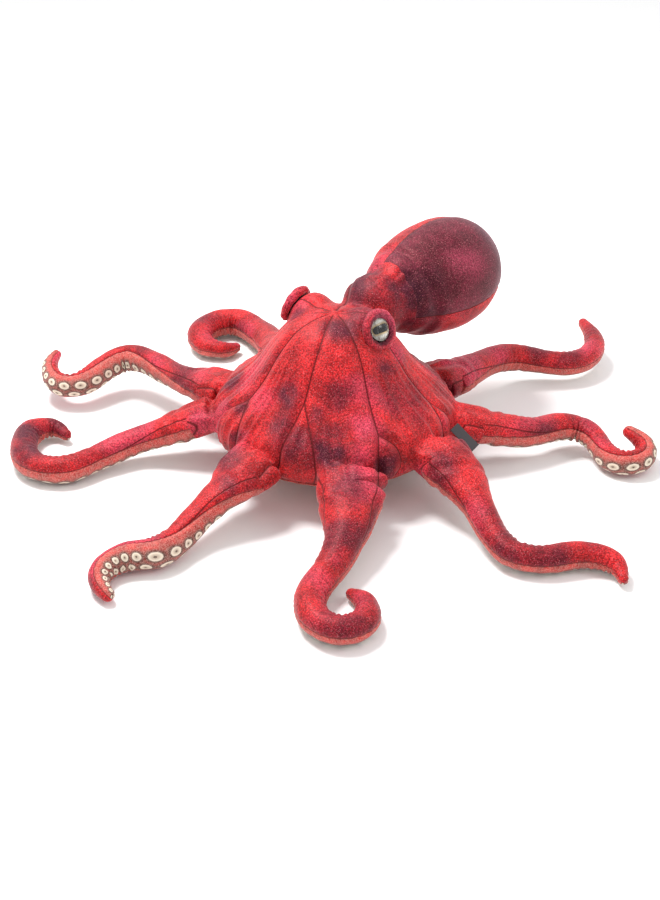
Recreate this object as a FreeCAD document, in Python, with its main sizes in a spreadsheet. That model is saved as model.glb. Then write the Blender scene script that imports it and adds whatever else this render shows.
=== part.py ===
"""Plush octopus hand puppet, lying on its eight arms.

Frame: millimetres, +Z up. The origin is on the floor, at the centre of the hand opening's mouth.
-Y is the front, where arm_1 lies; the arms are numbered clockwise as seen from above.
Every stuffed arm flexes at its root, beside the skirt, and again at a crease half way along.
The head turns on the skirt, and the mantle, the bag behind the eyes, nods on the head.
"""

import FreeCAD, Part  # noqa: E401  FreeCAD has to be imported before Part
import math
import os

import Sketcher
from FreeCAD import Placement, Rotation, Vector

DOC = FreeCAD.newDocument("octopus_puppet")

# --------------------------------------------------------------------------- driving dimensions

DIMENSIONS = {
    # cloth
    "velour": 2.0,
    "lining": 1.2,
    "gap": 0.5,
    # skirt: the cone of eight gores round the hand
    "foot_radius": 117.0,
    "foot_height": 34.0,
    "belly_radius": 127.0,
    "belly_height": 57.0,
    "shoulder_radius": 115.0,
    "shoulder_height": 81.0,
    "collar_radius": 77.0,
    "collar_height": 118.0,
    # head: the dome on top of the skirt
    "brow_radius": 46.0,
    "brow_height": 157.0,
    "crown_height": 170.0,
    # hand opening, its hem, and the lining sleeve
    "opening_radius": 42.0,
    "hem_radius": 50.0,
    "hem_height": 14.0,
    "sleeve_foot": 15.0,
    "sleeve_top_radius": 34.0,
    "sleeve_top": 112.0,
    "base_inner": 48.5,
    "base_inner_height": 16.0,
    "base_outer": 112.0,
    "base_outer_height": 31.0,
    "base_thickness": 1.6,
    "pocket_radius": 33.0,
    "pocket_foot": 119.5,
    "pocket_top": 148.0,
    # eyes
    "turret_radius": 27.0,
    "eye_radius": 13.0,
    "dome_height": 7.0,
    "dome_sphere": 15.5714,
    "iris_radius": 12.4,
    "iris_thickness": 0.8,
    "back_thickness": 3.0,
    "post_radius": 3.0,
    "post_length": 15.0,
    "washer_radius": 9.5,
    "washer_thickness": 1.6,
    "washer_hole": 3.05,
    "washer_depth": 8.0,
    "eyelid_ring": 17.2,
    "eyelid_roll": 3.7,
    # tag
    "tag_length": 31.0,
    "tag_width": 11.0,
    "tag_thickness": 1.0,
}

# Azimuths of the eight seams between the skirt's gores, in degrees from +X. Gore n lies between seam n and
# seam n + 1.
GORE_SEAMS = [-63.0, -106.0, -153.0, -193.0, -226.5, -286.5, -345.5, -383.0, -423.0]

# Where the two eye turrets sit on the head, and which way each eye looks.
TURRETS = {
    "left": (Vector(28, -6, 150), Vector(0.62, -0.65, 0.43)),
    "right": (Vector(-22, 38, 145), Vector(-0.73, 0.52, 0.43)),
}

# The mantle's pivot in the neck, its long axis, and its outline: distance along that axis, and radius there.
NECK = Vector(42, 54, 154)
MANTLE_AXIS = Vector(0.70, 0.70, 0.025)
MANTLE_OUTLINE = [(12, 33), (30, 43), (65, 57), (103, 61), (142, 52), (167, 33), (177, 0)]
MANTLE_SEAMS = [-14.0, 106.0, 226.0]  # degrees about the axis, from straight up towards the front
MANTLE_PANELS = ["back", "right", "left"]

# Each arm: the route of its centre, as (x, y, z, radius) from the root pivot to the tip; the number of the route
# point that is the mid pivot; the roll of its velour back, in degrees, at the root, the mid pivot and the tip; and
# half its width at the root, where the web between the arms broadens it.
ARMS = {
    1: (
        [(14, -150, 46, 22), (12, -180, 37, 22), (6, -215, 27, 19), (-8, -245, 19, 16.5), (-22, -275, 16, 16),
         (-20, -305, 15.5, 15.5), (-3, -323, 15, 15), (18, -321, 14.5, 14.5), (29, -300, 13.5, 13.5),
         (25, -278, 11.5, 11), (15, -262, 8, 7)],
        3, (0, 0, 0), 35,
    ),
    2: (
        [(-92, -119, 47, 20), (-110, -138, 39, 17), (-130, -160, 29, 15.5), (-150, -188, 19, 16),
         (-170, -207, 16.5, 16.5), (-193, -211, 15.5, 15.5), (-212, -223, 13.5, 13.5),
         (-218, -243, 11.5, 11.5),
         (-208, -263, 9, 8)],
        3, (0, 70, 130), 32,
    ),
    3: (
        [(-150, -1, 44, 19), (-173, -2, 35, 17), (-198, -5, 27, 15.5), (-224, -15, 21, 15.5),
         (-250, -33, 17, 15),
         (-275, -50, 15.5, 15.5), (-301, -50, 15.5, 15.5), (-323, -28, 15.5, 15.5), (-330, 2, 15.5, 15.5),
         (-325, 30, 15, 14.5), (-306, 41, 13, 11.5), (-291, 31, 10, 7.5)],
        4, (10, 20, 0), 27,
    ),
    4: (
        [(-135, 66, 50, 19), (-158, 83, 47, 17), (-185, 108, 46, 16), (-213, 137, 46, 16),
         (-238, 150, 43, 16.5),
         (-262, 136, 36, 16), (-282, 117, 29, 15.5), (-303, 115, 26, 14), (-320, 131, 29, 12),
         (-325, 153, 34, 9.5),
         (-321, 170, 37, 7)],
        4, (0, 60, 120), 27,
    ),
    5: (
        [(-58, 138, 46, 20), (-63, 165, 39, 20), (-70, 200, 30, 20), (-80, 240, 23, 19), (-97, 275, 19, 18.5),
         (-123, 300, 18, 18), (-150, 293, 17, 17), (-163, 266, 16.5, 16.5), (-154, 240, 14.5, 14),
         (-133, 234, 12, 11), (-119, 247, 9, 7)],
        4, (0, 0, 0), 33,
    ),
    6: (
        [(124, 84, 50, 20), (142, 105, 47, 18.5), (162, 130, 43, 17.5), (187, 158, 38, 17),
         (214, 171, 33, 16.5),
         (248, 171, 27, 15), (278, 176, 24, 15), (301, 198, 25, 14.5), (309, 235, 28, 12),
         (302, 268, 31, 7.5)],
        4, (0, 0, 0), 30,
    ),
    7: (
        [(149, -14, 46, 19), (178, -9, 38, 18), (210, -1, 32, 16.5), (238, 14, 29, 16), (260, 16, 26, 15),
         (276, 0, 21, 14), (284, -23, 16, 14), (302, -38, 15, 14), (322, -30, 16, 13), (327, -6, 19, 11.5),
         (315, 13, 23, 8)],
        4, (0, -20, -120), 24,
    ),
    8: (
        [(113, -98, 48, 20), (126, -122, 42, 19), (138, -150, 33, 17), (150, -182, 22, 15),
         (168, -209, 16, 15),
         (195, -215, 14.5, 14.5), (223, -209, 14.5, 14.5), (245, -209, 13.5, 13.5), (262, -219, 12, 11.5),
         (266, -238, 9, 7)],
        4, (0, 0, 0), 33,
    ),
}
STATION_SPACING = 12.0  # between the cross-sections that an arm is lofted through
SEAM_ROOM = 0.35  # between the two halves of an arm, where their seam allowances lie
CLOSE_SEAMS = {(7, "tip")}  # lengths whose halves meet without that room
WEB_LENGTH = 75.0  # how far along an arm its broadened root reaches

# --------------------------------------------------------------------------- helpers


def make_sheet():
    """The spreadsheet of driving dimensions, one aliased cell each."""
    sheet = DOC.addObject("Spreadsheet::Sheet", "dims")
    for row, (alias, value) in enumerate(DIMENSIONS.items(), start=1):
        sheet.set(f"A{row}", alias)
        sheet.set(f"B{row}", str(value))
        sheet.setAlias(f"B{row}", alias)
    DOC.recompute()
    return sheet


SHEET = make_sheet()


def dim(alias):
    """A driving dimension's value, in millimetres."""
    return float(SHEET.get(alias))


def feature(label, shape):
    """A sub-part whose shape this script makes."""
    piece = DOC.addObject("Part::Feature", label)
    piece.Label = label
    piece.Shape = shape
    return piece


def origin_plane(body, role):
    return next(o for o in body.Origin.OriginFeatures if o.Role == role)


def pin_corner(sketch, geometry, end, corner):
    """Holds one corner of a profile at (radius, height): each is an alias, a bound expression, or None for 0."""
    for axis, kind, name in ((0, "DistanceX", "across"), (1, "DistanceY", "up")):
        expression = corner[axis]
        if expression is None:
            sketch.addConstraint(Sketcher.Constraint("PointOnObject", geometry, end, -2 + axis))
            continue
        here = sketch.getPoint(geometry, end)[axis]
        n = sketch.addConstraint(Sketcher.Constraint(kind, -1, 1, geometry, end, here))
        sketch.renameConstraint(n, f"{name}_{geometry}")
        sketch.setExpression(f"Constraints.{name}_{geometry}", expression)


def profile(body, label, corners, rough, role="XZ_Plane"):
    """A closed outline of straight edges. rough holds the corners' starting places, corners their expressions."""
    sketch = body.newObject("Sketcher::SketchObject", label + "_profile")
    sketch.AttachmentSupport = (origin_plane(body, role), [""])
    sketch.MapMode = "FlatFace"
    count = len(corners)
    for i in range(count):
        start, end = rough[i], rough[(i + 1) % count]
        sketch.addGeometry(Part.LineSegment(Vector(*start, 0), Vector(*end, 0)), False)
    for i in range(count):
        sketch.addConstraint(Sketcher.Constraint("Coincident", i, 2, (i + 1) % count, 1))
    for i in range(count):
        pin_corner(sketch, i, 1, corners[i])
    return sketch


def turned(label, corners, rough):
    """A PartDesign body turned about Z from a closed outline."""
    body = DOC.addObject("PartDesign::Body", label)
    body.Label = label
    sketch = profile(body, label, corners, rough)
    spin = body.newObject("PartDesign::Revolution", label + "_turn")
    spin.Profile = sketch
    spin.ReferenceAxis = (sketch, ["V_Axis"])
    spin.Angle = 360.0
    body.Tip = spin
    DOC.recompute()
    return body


def facing(origin, direction):
    """The placement that carries local +Z onto direction, at origin."""
    return Placement(origin, Rotation(Vector(0, 0, 1), direction))


def band(points_2d):
    """A closed face in the XZ plane from a list of edges, each two or three (radius, height) points."""
    edges = []
    for points in points_2d:
        places = [Vector(r, 0, z) for r, z in points]
        edges.append((Part.Arc(*places) if len(places) == 3 else Part.LineSegment(*places)).toShape())
    return Part.Face(Part.Wire(edges))


def spun(face, start=0.0, sweep=360.0):
    """A face in the XZ plane turned about Z, from one azimuth through sweep degrees."""
    turned_face = face.copy()
    turned_face.rotate(Vector(), Vector(0, 0, 1), start)
    return turned_face.revolve(Vector(), Vector(0, 0, 1), sweep)


# --------------------------------------------------------------------------- skirt


def skirt_flank(inset):
    """The skirt's flank from foot to collar, moved in by inset, as three arcs of (radius, height) points."""
    foot = (dim("foot_radius") - inset, dim("foot_height") + inset)
    belly = (dim("belly_radius") - inset, dim("belly_height"))
    hip = (dim("belly_radius") - inset - 2.4, dim("belly_height") - 13 + inset / 2)
    shoulder = (dim("shoulder_radius") - inset * 0.7, dim("shoulder_height") - inset * 0.7)
    rim = (dim("belly_radius") - 3.2 - inset * 0.9, dim("belly_height") + 14 - inset * 0.4)
    collar = (dim("collar_radius") - inset * 0.7, dim("collar_height"))
    waist = ((shoulder[0] + collar[0]) / 2 - 1.5, (shoulder[1] + collar[1]) / 2 - 1.5)
    return [(foot, hip, belly), (belly, rim, shoulder), (shoulder, waist, collar)]


def make_gores():
    """The eight velour gores of the skirt, each a sector of one thin shell, sewn edge to edge."""
    outside = skirt_flank(0)
    inside = skirt_flank(dim("velour"))
    face = band([
        *outside,
        (outside[-1][2], inside[-1][2]),
        *[arc[::-1] for arc in inside[::-1]],
        (inside[0][0], outside[0][0]),
    ])
    for number, (start, end) in enumerate(zip(GORE_SEAMS, GORE_SEAMS[1:]), start=1):
        feature(f"body_gore_{number}", spun(face, end, start - end))


def make_padding():
    """The light wadding between the gores, the sleeve and the panel below. It holds the skirt's shape."""
    flank = skirt_flank(dim("velour") + dim("gap"))
    top = (dim("sleeve_top_radius") + dim("lining") + dim("gap"), dim("collar_height"))
    bottom = (dim("base_inner"), dim("base_inner_height") + dim("base_thickness") + dim("gap"))
    rim = (dim("base_outer"), dim("base_outer_height") + dim("base_thickness") + dim("gap"))
    face = band([
        *flank,
        (flank[-1][2], top),
        (top, bottom),
        (bottom, rim),
        (rim, flank[0][0]),
    ])
    feature("body_padding", spun(face))


def make_sleeve_parts():
    """The hem round the hand opening, the lining sleeve above it, and the printed panel under the skirt."""
    turned(
        "sleeve_hem",
        [("dims.opening_radius", None), ("dims.hem_radius", None), ("dims.hem_radius", "dims.hem_height"),
         ("dims.opening_radius", "dims.hem_height")],
        [(42, 0), (50, 0), (50, 14), (42, 14)],
    )
    turned(
        "hand_sleeve",
        [("dims.opening_radius", "dims.sleeve_foot"),
         ("dims.opening_radius + dims.lining", "dims.sleeve_foot"),
         ("dims.sleeve_top_radius + dims.lining", "dims.sleeve_top"),
         ("dims.sleeve_top_radius", "dims.sleeve_top")],
        [(42, 15), (43.2, 15), (35.2, 112), (34, 112)],
    )
    turned(
        "base_panel",
        [("dims.base_inner", "dims.base_inner_height"), ("dims.base_outer", "dims.base_outer_height"),
         ("dims.base_outer", "dims.base_outer_height + dims.base_thickness"),
         ("dims.base_inner", "dims.base_inner_height + dims.base_thickness")],
        [(48.5, 16), (112, 31), (112, 32.6), (48.5, 17.6)],
    )


def make_tag():
    """A plain ribbon tag, sewn into the seam between gores 7 and 8."""
    tag = DOC.addObject("PartDesign::Body", "sewn_tag")
    tag.Label = "sewn_tag"
    outline = profile(
        tag, "sewn_tag",
        [(None, "-dims.tag_width / 2"), ("dims.tag_length", "-dims.tag_width / 2"),
         ("dims.tag_length", "dims.tag_width / 2"), (None, "dims.tag_width / 2")],
        [(0, -5.5), (31, -5.5), (31, 5.5), (0, 5.5)],
        role="XY_Plane",
    )
    pad = tag.newObject("PartDesign::Pad", "sewn_tag_pad")
    pad.Profile = outline
    pad.setExpression("Length", "dims.tag_thickness")
    tag.Tip = pad
    DOC.recompute()
    along = Vector(22, -12, -19).normalize()
    across = along.cross(Vector(0.2, -0.75, 0.6)).normalize()
    up = along.cross(across)
    tag.Placement = Placement(Vector(121.5, -45.4, 62.6), Rotation(along, across, up, "XYZ"))


# --------------------------------------------------------------------------- head and eyes


def head_profile(inset):
    """The dome from the collar over the crown, moved in by inset: an arc to the brow, another to the axis."""
    collar = (dim("collar_radius") - inset * 0.75, dim("collar_height") + dim("gap"))
    cheek = ((dim("collar_radius") + dim("brow_radius")) / 2 + 1.5 - inset * 0.75,
             (dim("collar_height") + dim("brow_height")) / 2 + 1.5 - inset * 0.66)
    brow = (dim("brow_radius") - inset * 0.7, dim("brow_height") - inset * 0.8)
    forehead = (dim("brow_radius") / 2 + 1, dim("crown_height") - 2.8 - inset)
    crown = (0, dim("crown_height") - inset)
    return [(collar, cheek, brow), (brow, forehead, crown)]


def neck_ball_radius():
    """The ball of stuffing that the mantle turns on. It meets the mantle's core at its first section."""
    start, radius = MANTLE_OUTLINE[0]
    return math.hypot(start, radius - dim("velour") - dim("gap") / 2)


def neck_socket():
    return Part.makeSphere(neck_ball_radius() + 2 * dim("gap"), NECK)


def head_hollows():
    """What is left open in the head: the neck's socket, and the room for each eye's post and washer."""
    hollows = [neck_socket()]
    for side in TURRETS:
        cavity = eye_cavity()
        cavity.Placement = eye_seat(side)
        hollows.append(cavity)
    return hollows


def make_head_panels():
    """The velour dome above the skirt, in eight panels that carry on from the gores, open at the neck."""
    outside = head_profile(0)
    inside = head_profile(dim("velour"))
    face = band([
        *outside,
        (outside[1][2], inside[1][2]),
        inside[1][::-1],
        inside[0][::-1],
        (inside[0][0], outside[0][0]),
    ])
    hollows = head_hollows()
    panels = [spun(face, end, start - end).cut(hollows) for start, end in zip(GORE_SEAMS, GORE_SEAMS[1:])]
    feature("head_panels", Part.makeCompound([p for panel in panels for p in panel.Solids]))


def make_head_stuffing():
    """The stuffing inside the head panels, with a hollow for the fingertips."""
    outside = head_profile(dim("velour") + dim("gap"))
    foot = (outside[0][0][0], dim("collar_height") + dim("gap"))
    mouth = (dim("pocket_radius") + dim("gap") * 2, dim("collar_height") + dim("gap"))
    roof = (dim("pocket_radius") * 0.6 + dim("gap"), dim("pocket_top") + dim("gap"))
    face = band([
        *outside,
        (outside[1][2], (0, roof[1])),
        ((0, roof[1]), roof),
        (roof, mouth),
        (mouth, foot),
    ])
    feature("head_stuffing", spun(face).cut(head_hollows()))


def make_finger_pocket():
    """The closed end of the lining, inside the head, where the fingertips push."""
    turned(
        "finger_pocket",
        [("dims.pocket_radius - dims.lining", "dims.pocket_foot"), ("dims.pocket_radius", "dims.pocket_foot"),
         ("dims.pocket_radius * 0.6", "dims.pocket_top"), (None, "dims.pocket_top"),
         (None, "dims.pocket_top - dims.lining"),
         ("dims.pocket_radius * 0.6 - dims.lining", "dims.pocket_top - dims.lining")],
        [(31.8, 119.5), (33, 119.5), (19.8, 148), (0, 148), (0, 146.8), (18.6, 146.8)],
    )


def eye_seat(side):
    """Where an eye's back plate meets its turret: the placement whose +Z is the way the eye looks."""
    centre, look = TURRETS[side]
    direction = Vector(look).normalize()
    return facing(centre + direction * (dim("turret_radius") - 2.0), direction)


def eye_cavity():
    """The room that one eye's back plate, post and washer take inside the stuffed turret."""
    plate = Part.makeCylinder(dim("eye_radius") + 0.3, 12, Vector(0, 0, -dim("back_thickness") - 0.1))
    post = Part.makeCylinder(dim("post_radius") + 0.3, dim("post_length") + 4,
                             Vector(0, 0, -dim("back_thickness") - dim("post_length") - 0.5))
    washer = Part.makeCylinder(dim("washer_radius") + 0.3, dim("washer_thickness") + 0.6,
                               Vector(0, 0, -dim("washer_depth") - dim("washer_thickness") - 0.3))
    return plate.fuse([post, washer])


def make_turrets():
    """The stuffed velour mounds that carry the eyes, and the rolled eyelid round each eye."""
    arcs = head_profile(-dim("gap") / 2)
    foot, crown = arcs[0][0], arcs[1][2]
    floor = dim("collar_height") / 2
    dome = spun(band([
        *arcs,
        (crown, (0, floor)),
        ((0, floor), (foot[0], floor)),
        ((foot[0], floor), foot),
    ]))
    for side, (centre, _) in TURRETS.items():
        seat = eye_seat(side)
        cavity = eye_cavity()
        cavity.Placement = seat
        ball = Part.makeSphere(dim("turret_radius"), centre)
        clear = neck_socket()
        feature(f"eye_turret_{side}", ball.cut([dome, cavity, clear]))
        roll = Part.makeTorus(dim("eyelid_ring"), dim("eyelid_roll"))
        roll.Placement = seat
        mound = Part.makeSphere(dim("turret_radius") + 0.2, centre)
        feature(f"eyelid_{side}", roll.cut([mound, clear, dome]))


def eye_pair(label, corners, rough, offset):
    """One turned eye part for each eye, grouped in one node; offset lifts it from the eye's seat."""
    pair = []
    for side in TURRETS:
        body = turned(f"{label}_{side}", corners, rough)
        seat = eye_seat(side)
        body.Placement = seat.multiply(Placement(Vector(0, 0, offset), Rotation()))
        pair.append(body)
    group = DOC.addObject("Part::Compound", label)
    group.Links = pair
    group.Label = label


def make_lens_pair():
    """The clear domes: a ball cap on each eye, made from a sphere and the block that trims it."""
    caps = []
    for side in TURRETS:
        ball = DOC.addObject("Part::Sphere", f"eye_ball_{side}")
        ball.setExpression("Radius", "dims.dome_sphere")
        ball.setExpression("Placement.Base.z", "dims.dome_height - dims.dome_sphere")
        block = DOC.addObject("Part::Cylinder", f"eye_trim_{side}")
        block.setExpression("Radius", "dims.eye_radius")
        block.setExpression("Height", "dims.dome_height + 1")
        cap = DOC.addObject("Part::MultiCommon", f"eye_dome_{side}")
        cap.Shapes = [ball, block]
        DOC.recompute()
        seat = eye_seat(side)
        cap.Placement = seat.multiply(Placement(Vector(0, 0, dim("iris_thickness")), Rotation()))
        caps.append(cap)
    group = DOC.addObject("Part::Compound", "eye_domes")
    group.Links = caps
    group.Label = "eye_domes"


def make_eyes():
    """Safety eyes: a clear dome, the iris disc behind it, a back plate with its post, and a locking washer."""
    make_lens_pair()
    eye_pair(
        "eye_irises",
        [(None, None), ("dims.iris_radius", None), ("dims.iris_radius", "dims.iris_thickness"),
         (None, "dims.iris_thickness")],
        [(0, 0), (12.4, 0), (12.4, 0.8), (0, 0.8)],
        0.0,
    )
    eye_pair(
        "eye_backs",
        [(None, None), (None, "-dims.back_thickness - dims.post_length"),
         ("dims.post_radius", "-dims.back_thickness - dims.post_length"),
         ("dims.post_radius", "-dims.back_thickness"), ("dims.eye_radius", "-dims.back_thickness"),
         ("dims.eye_radius", None)],
        [(0, 0), (0, -18), (3, -18), (3, -3), (13, -3), (13, 0)],
        0.0,
    )
    eye_pair(
        "eye_washers",
        [("dims.washer_hole", None), ("dims.washer_radius", None),
         ("dims.washer_radius", "dims.washer_thickness"),
         ("dims.washer_hole", "dims.washer_thickness")],
        [(3.05, 0), (9.5, 0), (9.5, 1.6), (3.05, 1.6)],
        -dim("washer_depth") - dim("washer_thickness"),
    )


# --------------------------------------------------------------------------- mantle


def mantle_curve(inset):
    """The mantle's outline in its own frame, along +Z from the pivot, moved in by inset."""
    last = len(MANTLE_OUTLINE) - 1
    points = []
    for i, (s, r) in enumerate(MANTLE_OUTLINE):
        points.append(Vector(max(r - inset, 0), 0, s - (inset if i == last else 0)))
    curve = Part.BSplineCurve()
    curve.interpolate(points, InitialTangent=Vector(0.55, 0, 1), FinalTangent=Vector(-1, 0, 0))
    return curve.toShape(), points


def mantle_placement():
    """Carries the mantle's own frame, with +X straight up from its axis, to its place behind the head."""
    axis = Vector(MANTLE_AXIS).normalize()
    up = (Vector(0, 0, 1) - axis * axis.z).normalize()
    return Placement(NECK, Rotation(up, axis.cross(up), axis, "XYZ"))


def make_mantle():
    """Three velour panels sewn lengthwise round one stuffed core, which ends in a ball in the neck."""
    outside, outer_points = mantle_curve(0)
    inside, inner_points = mantle_curve(dim("velour"))
    shell_face = Part.Face(Part.Wire([
        outside,
        Part.LineSegment(outer_points[-1], inner_points[-1]).toShape(),
        inside,
        Part.LineSegment(inner_points[0], outer_points[0]).toShape(),
    ]))
    place = mantle_placement()
    for name, start in zip(MANTLE_PANELS, MANTLE_SEAMS):
        panel = spun(shell_face, start, 120.0)
        panel.Placement = place
        feature(f"mantle_panel_{name}", panel)
    core, core_points = mantle_curve(dim("velour") + dim("gap") / 2)
    radius = neck_ball_radius()
    bottom = Vector(0, 0, -radius)
    side = (core_points[0] + bottom).normalize() * radius
    stuffing = spun(Part.Face(Part.Wire([
        core,
        Part.Arc(core_points[0], side, bottom).toShape(),
        Part.LineSegment(bottom, core_points[-1]).toShape(),
    ])))
    stuffing.Placement = place
    feature("mantle_stuffing", stuffing)


# --------------------------------------------------------------------------- arms


def route_curve(route):
    """The smooth centre line of an arm through its route points."""
    curve = Part.BSplineCurve()
    curve.interpolate([Vector(*p[:3]) for p in route])
    return curve


def arm_stations(number, first, last):
    """Cross-sections of an arm between two distances along it, measured from the root pivot.

    Each is (centre, tangent, back direction, radius, half width).
    """
    route, pivot, rolls, root_half_width = ARMS[number]
    curve = route_curve(route)
    begin = curve.FirstParameter
    marks = [curve.length(begin, curve.parameter(Vector(*p[:3]))) if i else 0.0 for i, p in enumerate(route)]
    total = marks[-1]
    last = total if last is None else last
    count = max(3, round((last - first) / STATION_SPACING) + 1)
    stations = []
    for i in range(count):
        distance = first + (last - first) * i / (count - 1)
        parameter = curve.parameterAtDistance(distance, begin) if distance > 0 else begin
        centre = curve.value(parameter)
        tangent = Vector(curve.tangent(parameter)[0]).normalize()
        radius = between(distance, marks, [p[3] for p in route])
        roll = between(distance, [0, marks[pivot], total], rolls)
        up = (Vector(0, 0, 1) - tangent * tangent.z).normalize()
        back = Rotation(tangent, roll).multVec(up)
        widening = (root_half_width - route[0][3]) * max(0.0, 1 - distance / WEB_LENGTH)
        stations.append((centre, tangent, back, radius, radius + widening))
    return stations


def between(x, xs, ys):
    """Straight-line interpolation of ys over xs."""
    for x0, x1, y0, y1 in zip(xs, xs[1:], ys, ys[1:]):
        if x <= x1:
            return y0 + (y1 - y0) * max(0.0, x - x0) / (x1 - x0)
    return ys[-1]


def half_section(station, sign):
    """The D-shaped wire of one half of an arm: sign 1 is the velour back, -1 the printed underside."""
    centre, tangent, back, radius, half_width = station
    side = tangent.cross(back).normalize() * half_width
    crest = back * (radius * sign)
    if half_width > radius:
        arc = Part.ArcOfEllipse(Part.Ellipse(centre + side, centre + crest, centre), 0, math.pi)
    else:
        arc = Part.Arc(centre + side, centre + crest, centre - side)
    return Part.Wire([arc.toShape(), Part.LineSegment(centre - side, centre + side).toShape()])


def half_arm(stations, sign, ball_first, ball_last):
    """One padded half of a stretch of arm, lofted, with a quarter ball on the ends that need it."""
    solid = Part.makeLoft([half_section(s, sign) for s in stations], True, False)
    for wanted, station, turn in ((ball_first, stations[0], -1), (ball_last, stations[-1], 1)):
        if not wanted:
            continue
        centre, tangent, back = station[:3]
        axis = (back * -1).cross(tangent * turn).normalize()
        section = Part.Face(half_section(station, -1))
        if sign == 1:
            section.rotate(centre, axis, 90)
        solid = solid.fuse(section.revolve(centre, axis, 90))
    return solid.removeSplitter()


def moved_back(stations, distance):
    """The same stations, moved towards the arm's back."""
    return [(c + b * distance, t, b, r, w) for c, t, b, r, w in stations]


def make_arm(number):
    """One stuffed arm: a root and a tip length, each in two halves, velour back and printed underside."""
    route, pivot = ARMS[number][:2]
    curve = route_curve(route)
    crease = curve.length(curve.FirstParameter, curve.parameter(Vector(*route[pivot][:3])))
    root = arm_stations(number, 0.0, crease - route[pivot][3] - 1.5)
    tip = arm_stations(number, crease, None)
    for length, stations, ball_last in (("root", root, False), ("tip", tip, True)):
        room = 0.0 if (number, length) in CLOSE_SEAMS else SEAM_ROOM
        back = half_arm(moved_back(stations, room / 2), 1, True, ball_last)
        underside = half_arm(moved_back(stations, -room / 2), -1, True, ball_last)
        if room > 0 and underside.common(back).Volume > 0:
            underside = max(underside.cut(back).Solids, key=lambda solid: solid.Volume)
        feature(f"arm_{number}_{length}_back", back)
        feature(f"arm_{number}_{length}_underside", underside)


# --------------------------------------------------------------------------- the whole puppet

LABELS = [
    *[f"body_gore_{n}" for n in range(1, 9)],
    "body_padding", "sleeve_hem", "hand_sleeve", "base_panel", "sewn_tag",
    "head_panels", "head_stuffing", "finger_pocket",
    "eye_turret_left", "eye_turret_right", "eyelid_left", "eyelid_right",
    "eye_domes", "eye_irises", "eye_backs", "eye_washers",
    *[f"mantle_panel_{name}" for name in MANTLE_PANELS],
    "mantle_stuffing",
    *[f"arm_{n}_{length}_{half}" for n in ARMS for length in ("root", "tip") for half in ("back", "underside")],
]


def build():
    make_gores()
    make_padding()
    make_sleeve_parts()
    make_tag()
    make_head_panels()
    make_head_stuffing()
    make_finger_pocket()
    make_turrets()
    make_eyes()
    make_mantle()
    for number in ARMS:
        make_arm(number)
    DOC.recompute()


def check_and_export():
    """Stops on any failed object or bad shape, then writes one STEP file for each sub-part."""
    failed = [o.Name for o in DOC.Objects if {"Invalid", "Error"} & set(o.State)]
    if failed:
        raise RuntimeError(f"these objects failed to compute: {failed}")
    os.makedirs("parts", exist_ok=True)
    for label in LABELS:
        shape = DOC.getObjectsByLabel(label)[0].Shape
        if shape.isNull() or not shape.isValid() or shape.Volume <= 0 or not shape.Solids:
            raise RuntimeError(f"{label} has no valid solid")
        shape.exportStep(f"parts/{label}.step")
        print(f"{label}: {len(shape.Solids)} solid(s), {shape.Volume / 1000:.2f} cm3")


if __name__ == "__main__":
    build()
    check_and_export()
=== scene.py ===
# %% [markdown]
# # A plush octopus hand puppet
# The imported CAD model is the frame: it says where every arm, seam and eye is and what turns on what.
# Here the soft skins, the prints and the finishes are made around it. Everything is in metres.

# %% Load the frame
import math

import bmesh
import bpy
import numpy as np
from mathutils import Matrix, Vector, noise
from mathutils.bvhtree import BVHTree


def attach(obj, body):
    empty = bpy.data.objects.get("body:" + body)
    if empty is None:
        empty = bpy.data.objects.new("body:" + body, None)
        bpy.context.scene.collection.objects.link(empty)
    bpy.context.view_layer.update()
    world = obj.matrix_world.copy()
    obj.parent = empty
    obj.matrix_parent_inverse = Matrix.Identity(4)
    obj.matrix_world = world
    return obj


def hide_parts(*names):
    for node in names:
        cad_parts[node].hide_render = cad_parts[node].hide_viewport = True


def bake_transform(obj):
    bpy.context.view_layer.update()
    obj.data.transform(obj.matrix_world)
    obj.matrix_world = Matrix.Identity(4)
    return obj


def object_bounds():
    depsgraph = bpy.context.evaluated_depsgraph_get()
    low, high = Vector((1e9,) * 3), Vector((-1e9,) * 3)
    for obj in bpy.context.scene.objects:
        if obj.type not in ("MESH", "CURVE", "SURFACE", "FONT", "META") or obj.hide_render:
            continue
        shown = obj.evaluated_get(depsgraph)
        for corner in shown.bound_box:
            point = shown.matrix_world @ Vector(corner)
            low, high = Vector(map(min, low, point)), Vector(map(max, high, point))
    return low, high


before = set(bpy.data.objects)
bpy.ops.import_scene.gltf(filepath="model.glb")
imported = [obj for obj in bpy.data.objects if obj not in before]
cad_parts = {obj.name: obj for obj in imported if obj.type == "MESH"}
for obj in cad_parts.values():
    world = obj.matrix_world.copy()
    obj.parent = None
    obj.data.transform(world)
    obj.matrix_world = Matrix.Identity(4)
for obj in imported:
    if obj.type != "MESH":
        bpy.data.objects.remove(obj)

CAD_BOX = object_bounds()
MM = 0.001

# %% [markdown]
# ## Camera, light and floor
# The puppet is seen from above at thirty degrees, in soft studio light on a pale floor. One large lamp
# overhead gives the broad gloss that shows a pile fabric best, and a second one fills in from the side.

# %% Camera
EYE = Vector((-0.005, -1.3706, 0.8))
LOOKED_AT = Vector((-0.005, 0.015, 0.0))
camera_data = bpy.data.cameras.new("camera")
camera_data.lens = 59.5
camera_data.sensor_width = 36.0
camera = bpy.data.objects.new("camera", camera_data)
camera.location = EYE
camera.rotation_euler = (LOOKED_AT - EYE).to_track_quat("-Z", "Y").to_euler()
bpy.context.scene.collection.objects.link(camera)
bpy.context.scene.camera = camera
print("camera", round((LOOKED_AT - EYE).length, 3), "m away")


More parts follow.
